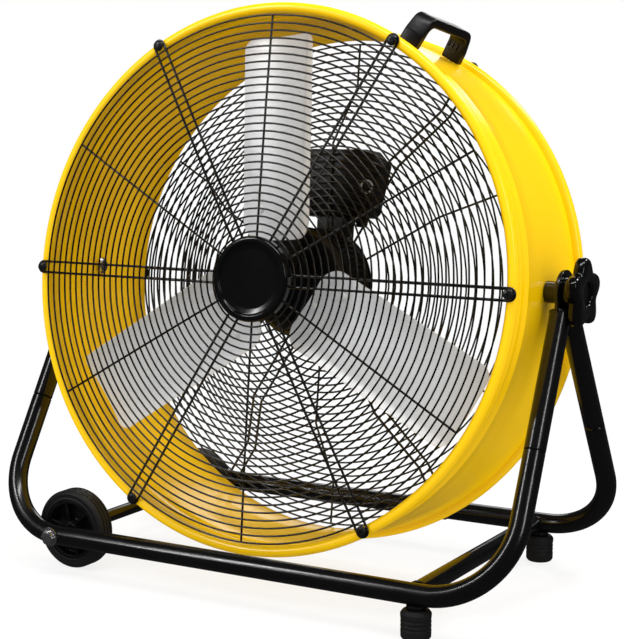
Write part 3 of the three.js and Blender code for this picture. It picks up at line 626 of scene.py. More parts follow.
def rim_bead(end):
    """The rolled rim, from its foot on the shell, round the outside, to the bore."""
    points = []
    for i in range(25):
        angle = mix(-0.42, 1.12, i / 24) * math.pi
        points.append((
            RIM_RADIUS - BEAD_RADIUS + BEAD_RADIUS * math.cos(angle),
            end * (HALF_DEPTH - BEAD_RADIUS + BEAD_RADIUS * math.sin(angle)),
        ))
    return points


def rib_rise(place):
    """How far the shell stands out at a place along its depth."""
    for middle in RIB_PLACES:
        if abs(place - middle) < RIB_HALF_WIDTH:
            return RIB_HEIGHT * (0.5 + 0.5 * math.cos(math.pi * (place - middle) / RIB_HALF_WIDTH)) ** 0.7
    return 0.0


def land_share(degrees):
    """0 on the flat land under the handle, 1 away from it."""
    away = abs(degrees - HANDLE_ANGLE)
    return min(1.0, max(0.0, (away - LAND_HALF_ANGLE) / 1.5))


def drum_shell():
    neck = HALF_DEPTH - 2 * BEAD_RADIUS
    first, last = RIB_PLACES[0] - RIB_HALF_WIDTH, RIB_PLACES[-1] + RIB_HALF_WIDTH
    walls = [-neck, *(mix(first, last, i / 34) for i in range(35)), -20, 15, 50, neck]
    outer = [(SHELL_RADIUS, place) for place in walls]
    inner = [(SHELL_RADIUS - DRUM_WALL, place) for place in reversed(walls)]
    profile = [*reversed(rim_bead(-1)), *outer, *rim_bead(1), *inner]
    ribbed = set(outer) | set(inner)
    rows = []
    for i in range(DRUM_SIDES):
        degrees = 360 * i / DRUM_SIDES
        angle = math.radians(degrees)
        row = []
        for radius, place in profile:
            if (radius, place) in ribbed:
                radius += rib_rise(place) * land_share(degrees)
            row.append((radius * math.cos(angle), place, radius * math.sin(angle)))
        rows.append(row)
    shape = Shape(DRUM)
    shape.rows(rows, along=True)
    stands_for(shape, "drum_shell", crease=40)


# ---------------------------------------------------------------- guards


def front_height(radius):
    """The middle of the front guard's strut wires, along the drum's axis."""
    share = min(radius, RING_OUTER) / RING_OUTER
    return -(HALF_DEPTH + GAP + STRUT_WIRE) - FRONT_DOME * (1 - share ** 2)


def rear_height(radius):
    share = min(1.0, max(0.0, (DISH_OUTER - radius) / (DISH_OUTER - DISH_INNER)))
    return HALF_DEPTH + GAP + STRUT_WIRE - REAR_DISH * share


def hairpin(height_at, radii, start):
    """One strut's wire: out on one side, round the screw, and back on the other."""
    out = [Vector((r, height_at(r), STRUT_HALF_GAP)) for r in (start, *radii, SCREW_CIRCLE)]
    rim = height_at(SCREW_CIRCLE)
    eye = []
    for i in range(1, 16):
        angle = math.pi * (0.5 - i / 16)
        eye.append(Vector((
            SCREW_CIRCLE + STRUT_HALF_GAP * math.cos(angle), rim, STRUT_HALF_GAP * math.sin(angle),
        )))
    back = [Vector((p.x, p.y, -p.z)) for p in reversed(out)]
    return out + eye + back


def guard(node, height_at, radii, inner_ring, ring_count):
    """Rings lie on the struts' front side, and a hub ring and the rim's ring close the ends."""
    shape = Shape(DRUM)
    offset = STRUT_WIRE + RING_WIRE - 0.4
    for i in range(ring_count):
        radius = RING_OUTER - RING_PITCH * i
        shape.ring(radius, RING_WIRE, height_at(radius) - offset)
    shape.ring(inner_ring, SPOKE_WIRE, height_at(inner_ring), 10)
    path = hairpin(height_at, radii, inner_ring)
    spoke = [Vector((r, height_at(r), 0)) for r in (inner_ring, *radii, RING_OUTER)]
    for i in range(STRUT_COUNT):
        shape.rod(path, STRUT_WIRE, 10, at=polar(60 * i))
        shape.rod(spoke, SPOKE_WIRE, 10, at=polar(60 * i + 30))
    stands_for(shape, node, crease=60)


def guards():
    front_radii = [80, 120, 160, 200, 240, 280, RING_OUTER]
    guard("front_guard", front_height, front_radii, FRONT_HUB_RING, FRONT_RINGS)
    low, high = DISH_INNER + DISH_SOFTNESS, DISH_OUTER - DISH_SOFTNESS
    rear_radii = [DISH_INNER - DISH_SOFTNESS, DISH_INNER, low, high, DISH_OUTER, RING_OUTER]
    guard("rear_guard", rear_height, rear_radii, REAR_HUB_RING, REAR_RINGS)


def front_cap():
    face = CAP_BACK - CAP_HEIGHT
    corners = [
        (0, face + 4.4, 0), (36, face + 4, 6), (CAP_RADIUS - 9.5, face + 3.2, 1.5),
        (CAP_RADIUS - 8, face, 2.5), (CAP_RADIUS - 2, face, 3.5), (CAP_RADIUS, face + 4, 3),
        (CAP_RADIUS, CAP_BACK, 0.6), (0, CAP_BACK, 0),
    ]
    shape = Shape(DRUM)
    shape.turned(rounded(corners, 6, closed=False), 128)
    stands_for(shape, "front_guard_cap", crease=50)


def guard_screws():
    seat = HALF_DEPTH + 2 * GAP + 2 * STRUT_WIRE
    for end, where, side in ((-1, "front", 180), (1, "rear", 0)):
        for i in range(STRUT_COUNT):
            shape = Shape(DRUM)
            at = polar(60 * i) @ moved(SCREW_CIRCLE, end * seat, 0) @ about("X", side)
            shape.pan_head(6.5, 4, at=at)
            shape.peg(2.4, -14, 0.2, (0.8, 0), 20, at=at)
            for k in range(4):
                shape.ring(2.35, 0.35, -12 + 2 * k, 6, at=at)
            stands_for(shape, f"{where}_guard_screw_{i + 1}")


# ---------------------------------------------------------------- carry handle


def handle_outline():
    """The handle's side view: places along the drum's axis and distances from it."""
    base = SHELL_RADIUS + 2 * GAP
    top = base + HANDLE_HEIGHT
    foot = HANDLE_HALF_LENGTH
    half = [(foot, base, HANDLE_FOOT_ROUND), (foot - 2.5, base + 18, 14), (foot - 12, top, 17)]
    leg = foot - HANDLE_LEG
    inner = [(leg - 3, top - HANDLE_BAR, 12), (leg, base, HANDLE_FOOT_ROUND)]
    right = half + [(-y, r, c) for y, r, c in reversed(half)]
    left = [(-y, r, c) for y, r, c in reversed(inner)] + inner
    return rounded([(HANDLE_MIDDLE + y, r, c) for y, r, c in right + left], 6)


def carry_handle():
    at = polar(HANDLE_ANGLE) @ ACROSS_Z
    shape = Shape(DRUM)
    half = HANDLE_WIDTH / 2
    shape.slab(handle_outline(), -half, half, HANDLE_EDGE, 4, at=at)
    low = SHELL_RADIUS + 15
    for side in (-1, 1):
        inner = HANDLE_MIDDLE + side * (HANDLE_HALF_LENGTH - HANDLE_LEG - 1.5)
        for k in range(4):
            across = mix(-9, 9, k / 3)
            first, last = sorted((inner - side * 1.5, inner + side * 2))
            shape.block((first, low, across - 1), (last, low + 12, across + 1), 0.6, at=at)
    stands_for(shape, "carry_handle")
    bore = SHELL_RADIUS - DRUM_WALL - GAP
    for end, where in ENDS:
        place = HANDLE_MIDDLE + end * (HANDLE_HALF_LENGTH - HANDLE_LEG / 2)
        screw = Shape(DRUM)
        head = polar(HANDLE_ANGLE) @ moved(bore - 0.2, place, 0) @ ALONG_X
        screw.pan_head(5, 2.8, at=head @ about("X", 180))
        screw.peg(2.3, -0.2, 13, (0, 0.6), 20, at=head)
        stands_for(screw, f"{where}_handle_screw")


# ---------------------------------------------------------------- stand


def along_leg(height, at_run, at_pivot):
    return mix(at_run, at_pivot, (height - RUN_HEIGHT) / (PIVOT_HEIGHT - RUN_HEIGHT))


def leg_half_gap(height):
    return along_leg(height, RUN_HALF_GAP, LEG_TOP_HALF_GAP)


def leg_point(side, end, height):
    return Vector((side * along_leg(height, RUN_X, LEG_TOP_X), end * leg_half_gap(height), height))


def stand_tubes():
    for end, where in ENDS:
        corners = [
            leg_point(-1, end, JOINT_HEIGHT), leg_point(-1, end, RUN_HEIGHT),
            leg_point(1, end, RUN_HEIGHT), leg_point(1, end, JOINT_HEIGHT),
        ]
        tube = Shape(WORLD)
        tube.rod(bent(corners, LEG_BEND, 24), TUBE_RADIUS, 40, 0.9)
        stands_for(tube, f"{where}_lower_tube")
        for side, hand in HANDS:
            joint, top = leg_point(side, end, JOINT_HEIGHT), leg_point(side, end, LEG_TOP_HEIGHT)
            way = (top - joint).normalized()
            leg = Shape(WORLD)
            leg.rod([joint + way * 0.5, joint + way * 60, top], TUBE_RADIUS, 40, 0.9)
            leg.weld(TUBE_RADIUS - 0.6, 1.5, 0, at=aimed(top - way * 1.2, top + way))
            stands_for(leg, f"{hand}_{where}_upper_leg")


def pivot_plates():
    bottom = PIVOT_HEIGHT - PLATE_DROP
    half = leg_half_gap(bottom)
    arc = []
    for i in range(33):
        angle = mix(-0.12, 1.12, i / 32) * math.pi
        arc.append((PLATE_RADIUS * math.cos(angle), PIVOT_HEIGHT + PLATE_RADIUS * math.sin(angle), 0))
    outline = rounded([(-half, bottom, 3), (half, bottom, 3), *arc])
    for side, hand in HANDS:
        shape = Shape(WORLD)
        middle = side * LEG_TOP_X
        shape.slab(outline, middle - PLATE_THICKNESS / 2, middle + PLATE_THICKNESS / 2, 0.8, at=ACROSS_X)
        for end in (-1, 1):
            low, high = leg_point(side, end, bottom + 2), leg_point(side, end, LEG_TOP_HEIGHT - 1)
            low.x = high.x = middle
            for face in (-1, 1):
                shift = Vector((face * (PLATE_THICKNESS / 2 + 0.2), 0, 0))
                lift = Vector((0, -end * 6.5, 0))
                line = [(low + shift + lift).lerp(high + shift + lift, k / 6) for k in range(7)]
                shape.rod(line, 1.5, 10, 0.7)
        stands_for(shape, f"{hand}_pivot_plate")


def feet():
    reach = RUN_HALF_GAP - TUBE_RADIUS + 1.5
    bar = Shape(WORLD)
    bar.rod([Vector((CROSSBAR_X, end * reach, RUN_HEIGHT)) for end in (-1, 1)], CROSSBAR_RADIUS, 40)
    for end in (-1, 1):
        bar.weld(CROSSBAR_RADIUS - 0.3, 1.5, end * (reach - 1.8), at=moved(CROSSBAR_X, 0, RUN_HEIGHT))
    stands_for(bar, "foot_crossbar")
    for end, where in ENDS:
        at = moved(FOOT_X, end * RUN_HALF_GAP, 0) @ ALONG_Z
        stub = Shape(WORLD)
        top = RUN_HEIGHT - TUBE_RADIUS + 1.5
        stub.peg(STUB_RADIUS, 8, top, (0.8, 0), 40, at=at)
        stub.weld(STUB_RADIUS - 0.2, 1.4, top - 2.2, at=at)
        stands_for(stub, f"{where}_foot_stub")
        foot = Shape(WORLD)
        rings = []
        for height in (13, 18, 23):
            for depth, rise, edge in ((0.4, -1.4, 0.4), (1.4, 0, 0.5), (0.4, 1.4, 0.4)):
                rings.append((FOOT_RADIUS - depth, height + rise, edge))
        bore = STUB_RADIUS + GAP
        profile = [
            (0, 1.2, 0), (8, 1.2, 0.6), (9, 0, 0.6), (FOOT_RADIUS - 3, 0, 1.5), (FOOT_RADIUS - 0.6, 3, 2),
            *rings, (FOOT_RADIUS, FOOT_HEIGHT - 4, 2), (FOOT_RADIUS - 3, FOOT_HEIGHT, 2),
            (bore + 0.6, FOOT_HEIGHT, 0.8), (bore, FOOT_HEIGHT - 3, 0.5), (bore, 7.7, 0), (0, 7.7, 0),
        ]
        foot.turned(rounded(profile, 3, False), 56, at=at)
        stands_for(foot, f"{where}_foot")


# ---------------------------------------------------------------- wheels and axle


def hexagon_head(shape, low, high, at):
    """A hexagon head with a turned chamfer and a raised face."""
    outline = [(p.x, p.y, 0.5) for p in circle(NUT_RADIUS, 6)]
    shape.slab(rounded(outline, 2), min(low, high), max(low, high), 0.9, at=at @ ACROSS_Y)
    face = high + math.copysign(0.35, high - low)
    root = mix(low, high, 0.7)
    shape.turned([(0, face), (6.6, face), (7.4, high), (7.4, root), (0, root)], 48, at=at)


def axle():
    at = moved(WHEEL_X, 0, RUN_HEIGHT)
    face = RUN_HALF_GAP + TUBE_RADIUS + GAP
    bolt = Shape(WORLD)
    hexagon_head(bolt, -face - WASHER_THICKNESS, -face - NUT_HEIGHT, at)
    bolt.peg(WASHER_RADIUS, -face - WASHER_THICKNESS, -face, (0.4, 0.4), 48, 2, at=at)
    line = [Vector((0, y, 0)) for y in (-face - 1, 0, face + NUT_HEIGHT + 1.5)]
    bolt.rod(line, AXLE_RADIUS, 24, 0.8, at=at)
    for k in range(5):
        bolt.ring(AXLE_RADIUS - 0.1, 0.4, face + NUT_HEIGHT + 0.8 - 1.5 * k, 6, at=at)
    stands_for(bolt, "wheel_axle")
    nut = Shape(WORLD)
    hexagon_head(nut, face + WASHER_THICKNESS, face + NUT_HEIGHT, at)
    nut.peg(WASHER_RADIUS, face, face + WASHER_THICKNESS, (0.4, 0.4), 48, 2, at=at)
    stands_for(nut, "wheel_axle_nut")
    boss = WHEEL_BOSS + GAP
    wheel_y = WHEELS["rear"].y
    inner = RUN_HALF_GAP - TUBE_RADIUS - 1
    spans = {
        "axle_spacer_tube": (-wheel_y + boss, wheel_y - boss),
        "front_wheel_spacer": (-inner, -wheel_y - boss),
        "rear_wheel_spacer": (wheel_y + boss, inner),
    }
    for node, (low, high) in spans.items():
        shape = Shape(WORLD)
        bore = AXLE_RADIUS + GAP
        outer = AXLE_SPACER_RADIUS
        profile = [(bore, low, 0), (outer, low, 0.6), (outer, high, 0.6), (bore, high, 0)]
        shape.turned(rounded(profile, 3), 40, closed=True, at=at)
        stands_for(shape, node)


def wheel(where):
    at = moved(*WHEELS[where])
    half = WHEEL_HALF_WIDTH
    tread = []
    for groove in (-6, 0, 6):
        for depth, place in ((0, -1.3), (1.6, -0.7), (1.6, 0.7), (0, 1.3)):
            tread.append((WHEEL_RADIUS - depth, groove + place, 0.3))
    tyre = Shape(WORLD)
    side = [
        (HUB_RADIUS + GAP, -half + 0.6, 0.5), (HUB_RADIUS + 2.5, -half, 0.8),
        (HUB_RADIUS + 4, -half + 0.8, 0.8), (WHEEL_RADIUS - 4, -half, 2), (WHEEL_RADIUS, -half + 4, 3),
    ]
    profile = [*side, *tread, *((r, -y, c) for r, y, c in reversed(side))]
    tyre.turned(rounded(profile, 4), 96, closed=True, at=at)
    stands_for(tyre, f"{where}_wheel_tyre")
    hub = Shape(WORLD)
    edge = half - 1
    bore = AXLE_RADIUS + GAP
    profile = []
    for side in (-1, 1):
        part = [
            (bore, side * WHEEL_BOSS, 0.5), (11, side * WHEEL_BOSS, 1), (12, side * 3, 2.5),
            (HUB_RADIUS - 5, side * 3, 2), (HUB_RADIUS - 4, side * edge, 1), (HUB_RADIUS, side * edge, 0.6),
        ]
        profile += part if side < 0 else reversed(part)
    hub.turned(rounded(profile, 4), 96, closed=True, at=at)
    for i in range(6):
        turn = about("Y", 60 * i + 15)
        for side in (-1, 1):
            low, high = sorted((side * 1, side * (edge - 2)))
            reach = HUB_RADIUS - 3
            corners = [(10, low, 0.4), (reach, low, 0.4), (reach, high, 0.4), (10, high, 0.4)]
            hub.slab(rounded(corners, 2), -1.6, 1.6, 0.6, at=at @ turn)
    stands_for(hub, f"{where}_wheel_hub")


# ---------------------------------------------------------------- pivots


def star(count=150):
    points = []
    for i in range(count):
        angle = 2 * math.pi * i / count + math.pi / 2
        wave = 0.5 + 0.5 * math.cos(5 * (angle - math.pi / 2))
        radius = KNOB_RADIUS - KNOB_LOBE_DEPTH * (1 - wave ** 0.8)
        points.append(Vector((radius * math.cos(angle), radius * math.sin(angle))))
    return points


def tilt_knob(node, at):
    """A star knob: its outline drawn in towards both faces, a recess in the middle, and a boss behind."""
    outline = star()
    back, face = KNOB_BACK, KNOB_FACE
    sides = [
        (back, 4), (back + 0.8, 1.9), (back + 2.2, 0.6), (back + 4.2, 0),
        (face - 5.6, 0), (face - 3, 0.7), (face - 1.3, 2), (face - 0.4, 3.8), (face, 5.8),
    ]
    rows = [[(y, z, x) for y, z in inset(outline, rise)] for x, rise in sides]
    recess = [
        (0.45, KNOB_RECESS + 4, 0), (1, KNOB_RECESS + 2.6, 0.2), (1, KNOB_RECESS + 1.2, 0.8),
        (1, KNOB_RECESS + 0.3, 2.2), (1, KNOB_RECESS, 4.4), (1, KNOB_RECESS - 1.2, 5), (1, 0, 5),
    ]
    edge = inset(outline, sides[-1][1])
    for share, radius, depth in recess:
        ring = [point.lerp(point.normalized() * radius, share) for point in edge]
        rows.append([(y, z, face - depth) for y, z in ring])
    shape = Shape(PIVOT)
    shape.rows(rows, at=at @ ACROSS_X)
    plate = LEG_TOP_X + PLATE_THICKNESS / 2 + GAP
    boss = [
        (0, plate, 0), (KNOB_BOSS_RADIUS, plate, 1), (KNOB_BOSS_RADIUS + 1, back + 2, 1), (0, back + 2, 0),
    ]
    shape.turned(rounded(boss, 3, False), 64, at=at @ ALONG_X)
    stands_for(shape, node, crease=45)


def pivots():
    seat = SHELL_RADIUS - DRUM_WALL - STUD_SEAT_RELIEF
    start, inner = SHELL_RADIUS + GAP, LEG_TOP_X - PLATE_THICKNESS / 2 - GAP
    hole, collar = STUD_RADIUS + GAP, SLEEVE_RADIUS + 1.5
    end = KNOB_FACE - 12
    for turn, hand in ((0, "right"), (180, "left")):
        side = about("Z", turn)
        sleeve = Shape(PIVOT)
        profile = [
            (hole, start, 0), (SLEEVE_RADIUS, start, 0.8), (SLEEVE_RADIUS, inner - 3, 0.5),
            (collar, inner - 2.6, 0.5), (collar, inner, 0.6), (hole, inner, 0),
        ]
        sleeve.turned(rounded(profile, 3), 64, closed=True, at=side @ ALONG_X)
        stands_for(sleeve, f"{hand}_pivot_sleeve")
        stud = Shape(PIVOT)
        profile = [
            (0, seat - 4.4, 0), (7.5, seat - 4, 3), (11, seat - 1.5, 1), (11, seat, 0.5),
            (STUD_RADIUS, seat, 0), (STUD_RADIUS, end, 0.8), (0, end, 0),
        ]
        stud.turned(rounded(profile, 4, False), 48, at=side @ ALONG_X)
        stands_for(stud, f"{hand}_pivot_stud")
        tilt_knob(f"{hand}_tilt_knob", side)


# ---------------------------------------------------------------- motor and controls


def motor():
    plate = Shape(DRUM)
    profile = [
        (24, PLATE_FRONT, 0.6), (MOUNT_PLATE_RADIUS, PLATE_FRONT, 0.9),
        (MOUNT_PLATE_RADIUS, PLATE_REAR, 0.9), (24, PLATE_REAR, 0.6),
    ]
    plate.turned(rounded(profile, 4), 96, closed=True)
    for i in range(6):
        plate.pan_head(4.5, 2.6, at=polar(60 * i) @ moved(48, PLATE_REAR, 0))
    rear = BOX_REAR - 2
    plate.block((-20, PLATE_FRONT, 40), (20, rear, 56), 1.5)
    plate.block((-20, BOX_FRONT + 2, 54), (20, rear, BOX_BOTTOM - GAP), 1.5)
    stands_for(plate, "motor_mount_plate")

    housing = Shape(DRUM)
    front, rear, edge = MOTOR_FRONT, MOTOR_REAR, MOTOR_RADIUS
    profile = [
        (0, front + 25, 0), (SHAFT_BORE, front + 25, 0), (SHAFT_BORE, front, 0),
        (edge, front, 0.8), (edge, front + 8, 1), (edge - 2.5, front + 9, 1),
        (edge - 2.5, rear - 13, 1), (edge, rear - 12, 1), (edge, rear - 4, 2),
        (edge - 4, rear, 2), (0, rear, 0),
    ]
    housing.turned(rounded(profile, 3, False), 96)
    for i in range(MOTOR_FINS):
        turn = polar(360 * i / MOTOR_FINS)
        housing.block((edge - 4, front + 7, -1.1), (edge - 0.3, rear - 11, 1.1), 0.6, at=turn)
    stands_for(housing, "motor_housing")

    bell = Shape(DRUM)
    back = front - GAP
    face = back - BELL_LENGTH
    profile = [
        (SHAFT_BORE, face, 0.5), (13, face, 1), (14, face + 1, 1), (26, face + 1, 3),
        (edge - 22, face + 0.5, 5), (edge - 7, face + 4, 5), (edge - 2.5, back - 4, 2),
        (edge - 2, back, 0.8), (SHAFT_BORE, back, 0),
    ]
    bell.turned(rounded(profile, 4), 96, closed=True)
    for i in range(BELL_SLOTS):
        outline = rounded([(30, -1.8, 1.7), (46, -2.6, 2.4), (46, 2.6, 2.4), (30, 1.8, 1.7)], 4)
        bell.slab(outline, face - 0.8, face + 2, 0.6, at=polar(360 * i / BELL_SLOTS) @ ACROSS_Y)
    for i in range(4):
        bell.pan_head(4, 2.6, at=polar(90 * i + 45) @ moved(edge - 13, face + 2.6, 0) @ about("X", 180))
    stands_for(bell, "motor_end_bell")

    shaft = Shape(DRUM)
    shaft.peg(SHAFT_RADIUS, HUB_FRONT + 5, front + 24, (1, 0.5), 40)
    stands_for(shaft, "motor_shaft")


def box_outline(back=0.0):
    """The control box narrows downwards, and its upper corners are cut off."""
    bottom, top = BOX_BOTTOM_HALF_WIDTH - back, BOX_TOP_HALF_WIDTH - back
    low, high = BOX_BOTTOM + back, BOX_TOP - back
    half = [
        (bottom - 6, low, 3), (bottom, low + 6, 3),
        (top, high - BOX_CHAMFER, 4), (top - BOX_CHAMFER, high, 4),
    ]
    return rounded(half + [(-x, z, r) for x, z, r in reversed(half)], 4)


def controls():
    dark, pale = FINISHES["black_plastic"], FINISHES["grey_plastic"]
    box = Shape(DRUM)
    box.slab(box_outline(), BOX_FRONT, BOX_REAR, 2.5, 4, at=ACROSS_Y)
    box.slab(box_outline(9), BOX_FRONT - 0.8, BOX_FRONT + 3, 0.8, at=ACROSS_Y)
    eye = moved(LAMP[0], BOX_FRONT - 0.8, LAMP[1])
    box.ring(8, 1.3, -0.6, 12, paint=1, at=eye)
    box.turned(rounded([(0, 1, 0), (6.4, 1, 0), (6.4, -1.2, 1), (0, -1.6, 0)], 3, False), 40, at=eye)
    for x, z in ((50, BOX_BOTTOM + 8), (58, BOX_TOP - 24)):
        for side in (-1, 1):
            box.pan_head(3, 1.8, at=moved(side * (x - 4), BOX_FRONT, z) @ about("X", 180))
    stands_for(box, "control_box", dark, pale)

    cover = Shape(DRUM)
    cover.slab(box_outline(), COVER_FRONT, COVER_REAR, 1.2, at=ACROSS_Y)
    plate = moved(0, 0, SPEED_KNOB_HEIGHT)
    low, high = COVER_REAR - 1, COVER_REAR + 0.5
    dial = rounded([(4.3, low, 0), (30, low, 0), (30, high, 0.5), (4.3, high, 0)], 3)
    cover.turned(dial, 72, closed=True, at=plate)
    for k in range(4):
        turn = about("Y", -60 - 40 * k) @ moved(25, high, 0)
        cover.peg(1.6, -0.5, 0.5, (0, 0.3), 20, 2, paint=1, at=plate @ turn)
    for x, z in ((44, BOX_BOTTOM + 9), (54, BOX_TOP - 22)):
        for side in (-1, 1):
            cover.pan_head(3.6, 2.2, at=moved(side * x, COVER_REAR, z))
    stands_for(cover, "control_box_cover", dark, pale)

    knob = Shape(DRUM)
    low = COVER_REAR + 0.8
    edge = SPEED_KNOB_RADIUS
    skirt = [(0, low, 0), (edge, low, 0.6), (edge - 1, low + 6, 2), (0, low + 6.4, 0)]
    knob.turned(rounded(skirt, 4, False), 72, at=plate)
    knob.peg(4, low - 12, low, (0.4, 0), 24, 2, at=plate)
    reach = edge - 2.5
    grip = rounded([(-4, -reach, 3), (4, -reach, 3), (4, reach, 3), (-4, reach, 3)], 4)
    knob.slab(grip, low + 5, low + 16.2, 1.6, 4, at=plate @ ACROSS_Y)
    knob.block((-0.7, low + 15.6, 5), (0.7, low + 16.8, SPEED_KNOB_RADIUS - 4), 0.3, paint=1, at=plate)
    stands_for(knob, "speed_knob", pale, dark)

    gland = Shape(DRUM)
    at = moved(GLAND[0], GLAND[1], 0) @ ALONG_Z
    top = BOX_BOTTOM - GAP
    ribs = []
    for k in range(2):
        height = top - 9.5 + 3 * k
        swell = 0.5 * k
        ribs += [(7.2 + swell, height, 0.3), (8 + swell, height + 0.9, 0.4), (7.4 + swell, height + 1.8, 0.3)]
    profile = [
        (3.5, top - 12, 0.5), (6.8, top - 12, 1), *ribs, (9, top - 3.6, 0.8), (9, top, 0.4),
        (6, top, 0), (6, top + 7, 0), (3.5, top + 7, 0),
    ]
    gland.turned(rounded(profile, 2), 40, closed=True, at=at)
    stands_for(gland, "cord_gland")


# ---------------------------------------------------------------- rotor


def pitch_at(radius):
    return math.radians(mix(ROOT_PITCH, TIP_PITCH, radius / BLADE_TIP))


def section_height(s):
    """The blade's curved section, hollow towards the front, with a bent strip along one edge."""
    arch = BLADE_CAMBER * (1 - (2 * s / BLADE_CHORD) ** 2)
    return arch - max(0.0, s - (BLADE_CHORD / 2 - FLANGE_WIDTH)) * FLANGE_SLOPE


def blade_point(s, radius, lift):
    """A point on the blade that stands up along +Z, lifted off its front face."""
    height = section_height(s) + lift
    pitch = pitch_at(radius)
    x = s * math.cos(pitch) + height * math.sin(pitch)
    y = -s * math.sin(pitch) + height * math.cos(pitch)
    return Vector((x, BLADE_FRONT + y, radius))


def half_width(radius, low, high, width, low_round, high_round):
    """Half the width of a strip with rounded corners, at a distance from the axis."""
    if radius < low + low_round:
        off = low + low_round - radius
        return width - low_round + math.sqrt(max(0.0, low_round ** 2 - off ** 2))
    if radius > high - high_round:
        off = radius - (high - high_round)
        return width - high_round + math.sqrt(max(0.0, high_round ** 2 - off ** 2))
    return width


def eased(low, high, count):
    """Values that crowd towards both ends."""
    return [mix(low, high, 0.5 - 0.5 * math.cos(math.pi * i / count)) for i in range(count + 1)]


def sheet(shape, width_at, radii, lift, thickness, spans, at):
    """A curved sheet with rounded edges that follows the blade."""
    rows = []
    for radius in radii:
        width = width_at(radius)
        stations = [mix(-width, width, i / spans) for i in range(spans + 1)]
        front = [blade_point(s, radius, lift) for s in stations]
        back = [blade_point(s, radius, lift + thickness) for s in reversed(stations)]
        middle = lift + thickness / 2
        grow = thickness * 0.25
        right = blade_point(width + grow, radius, middle)
        left = blade_point(-width - grow, radius, middle)
        rows.append([*front, right, *back, left])
    shape.rows(rows, at=at)


def rivets(shape, profile, lift, towards, at):
    """One side's rivet heads, from their seat at one lift off the blade and aimed at another."""
    for s, radius in RIVETS:
        way = aimed(blade_point(s, radius, lift), blade_point(s, radius, towards))
        shape.turned(rounded(profile, 3, False), 28, at=at @ way)


def blade_half_width(radius):
    return half_width(radius, BLADE_ROOT, BLADE_END, BLADE_CHORD / 2 - 0.5, 26, 14)


def blade(index):
    at = about("Y", -ROTOR_TURN - 120 * index)
    shape = Shape(DRUM)
    radii = eased(BLADE_ROOT, BLADE_END, 72)
    sheet(shape, blade_half_width, radii, 0, BLADE_THICKNESS, 40, at)
    rivets(shape, [(0, -1.5, 0), (4.6, -1.5, 0), (4.6, 0.4, 0.6), (3.2, 2, 1.2), (0, 2.3, 0)], 0, -5, at)
    finish = blade_aluminium(90 + 120 * index)
    stands_for(shape, f"fan_blade_{index + 1}", finish.material, crease=28)


def arm_half_width(radius):
    if radius < 84:
        return mix(24, ARM_HALF_WIDTH, max(0.0, radius - 10) / 74)
    return half_width(radius, 0, ARM_REACH, ARM_HALF_WIDTH, 1, 18)


def fan_hub():
    shape = Shape(DRUM)
    front, rear, barrel = HUB_FRONT, HUB_FRONT + HUB_LENGTH, HUB_BARREL_RADIUS
    profile = [
        (SHAFT_BORE, front + 4, 0), (SHAFT_BORE, rear, 0.5), (barrel - 2, rear, 1), (barrel, rear - 2, 1),
        (barrel, front + 30, 1.5), (42, front + 29, 1), (44, front + 27.8, 0.8), (44, front + 25, 0.8),
        (42, front + 24, 0.8), (24, front + 23.4, 2), (barrel, front + 20, 2), (barrel, front + 2, 2),
        (barrel - 3, front, 1.5), (SHAFT_BORE, front, 0.5),
    ]
    shape.turned(rounded(profile, 4), 72, closed=True)
    tail = [(0, -0.5, 0), (4.2, -0.5, 0), (4.2, 0.8, 0.4), (2.6, 2.2, 0.8), (0, 2.3, 0)]
    for index in range(BLADE_COUNT):
        at = about("Y", -ROTOR_TURN - 120 * index)
        sheet(shape, arm_half_width, eased(16, ARM_REACH, 36), BLADE_THICKNESS + 0.6, 3, 16, at)
        rivets(shape, tail, BLADE_THICKNESS + 3.4, BLADE_THICKNESS + 9, at)
    grub = [(0, -2, 0), (3.4, -2, 0), (3.4, 2.6, 0.5), (1.8, 2.6, 0.2), (1.8, 1, 0), (0, 1, 0)]
    for angle in (30, 150):
        screw = polar(angle) @ moved(barrel - 1, front + 10, 0) @ ALONG_X
        shape.turned(rounded(grub, 2, False), 24, at=screw)
    stands_for(shape, "fan_hub")


# ---------------------------------------------------------------- stage, lights and camera


def floor():
    """A plain white floor that glows more with the distance, so that it runs out into the backdrop."""
    finish = Finish("floor", (0.88, 0.88, 0.88), 0.8, specular=0.1)
    away = finish.node("ShaderNodeVectorMath", {0: finish.place}, operation="LENGTH")
    fade = finish.node("ShaderNodeMapRange", {
        "Value": away.outputs["Value"], "From Min": 0.25, "From Max": 1.3, "To Min": 0.82, "To Max": 1.0,
    }, interpolation_type="SMOOTHSTEP")
    glow = finish.node("ShaderNodeEmission", {"Color": (1, 1, 1, 1)})
    mixed = finish.node("ShaderNodeMixShader", {
        "Fac": fade.outputs["Result"], 1: finish.shader.outputs["BSDF"], 2: glow.outputs["Emission"],
    })
    finish.tree.links.new(mixed.outputs["Shader"], finish.tree.nodes["Material Output"].inputs["Surface"])
    mesh = bpy.data.meshes.new("floor")
    reach = 60
    corners = [(-reach, -reach, 0), (reach, -reach, 0), (reach, reach, 0), (-reach, reach, 0)]
    mesh.from_pydata(corners, [], [(0, 1, 2, 3)])
    mesh.materials.append(finish.material)
    made = bpy.data.objects.new("floor", mesh)
    made.visible_glossy = False
    bpy.context.scene.collection.objects.link(made)


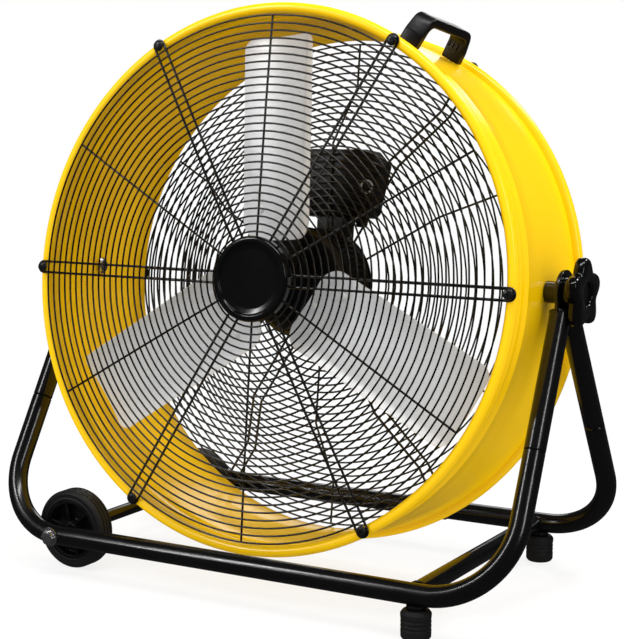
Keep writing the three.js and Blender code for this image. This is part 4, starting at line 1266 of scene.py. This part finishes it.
def world():
    """White behind the object, softer light all round, and a dark studio in the reflections."""
    made = bpy.data.worlds.new("studio")
    made.use_nodes = True
    tree = made.node_tree
    ray = tree.nodes.new("ShaderNodeLightPath")
    strength = tree.nodes.new("ShaderNodeMapRange")
    strength.inputs["To Min"].default_value = 1.0
    strength.inputs["To Max"].default_value = 0.04
    seen = tree.nodes.new("ShaderNodeMapRange")
    seen.inputs["To Max"].default_value = 1.0
    tree.links.new(ray.outputs["Is Glossy Ray"], strength.inputs["Value"])
    tree.links.new(ray.outputs["Is Camera Ray"], seen.inputs["Value"])
    tree.links.new(strength.outputs["Result"], seen.inputs["To Min"])
    backdrop = tree.nodes["Background"]
    backdrop.inputs["Color"].default_value = (1, 1, 1, 1)
    tree.links.new(seen.outputs["Result"], backdrop.inputs["Strength"])
    bpy.context.scene.world = made


def softbox(name, place, aim, size, power):
    light = bpy.data.lights.new(name, "AREA")
    light.shape = "RECTANGLE"
    light.size, light.size_y = size
    light.energy = power
    made = bpy.data.objects.new(name, light)
    made.location = place
    made.rotation_mode = "QUATERNION"
    made.rotation_quaternion = (Vector(aim) - Vector(place)).to_track_quat("-Z", "Y")
    bpy.context.scene.collection.objects.link(made)


def lights():
    middle = (0, 0, 0.35)
    softbox("key", (-1.7, -2.3, 1.9), middle, (0.16, 1.6), 30)
    softbox("side", (2.6, -1.3, 1.7), middle, (0.16, 1.4), 16)
    softbox("top", (0.5, -0.7, 2.8), middle, (2.2, 0.25), 34)
    softbox("ribs", (1.0, 1.1, 2.2), middle, (0.4, 0.4), 20)
    softbox("back", (-1.2, 2.6, 1.8), middle, (1.2, 1.2), 14)


def camera():
    data = bpy.data.cameras.new("camera")
    data.lens = LENS
    data.sensor_width = SENSOR_WIDTH
    azimuth, elevation = math.radians(CAMERA_AZIMUTH), math.radians(CAMERA_ELEVATION)
    level = math.cos(elevation)
    back = Vector((math.sin(azimuth) * level, -math.cos(azimuth) * level, math.sin(elevation)))
    made = bpy.data.objects.new("camera", data)
    made.location = CAMERA_TARGET + back * CAMERA_DISTANCE
    made.rotation_mode = "QUATERNION"
    made.rotation_quaternion = (-back).to_track_quat("-Z", "Y")
    bpy.context.scene.collection.objects.link(made)
    bpy.context.scene.camera = made


# ---------------------------------------------------------------- assembly

camera()
world()
lights()
floor()
bpy.context.scene.view_settings.view_transform = "Standard"

drum_shell()
guards()
front_cap()
guard_screws()
carry_handle()
stand_tubes()
pivot_plates()
feet()
axle()
wheel("front")
wheel("rear")
pivots()
motor()
controls()
for number in range(BLADE_COUNT):
    blade(number)
fan_hub()
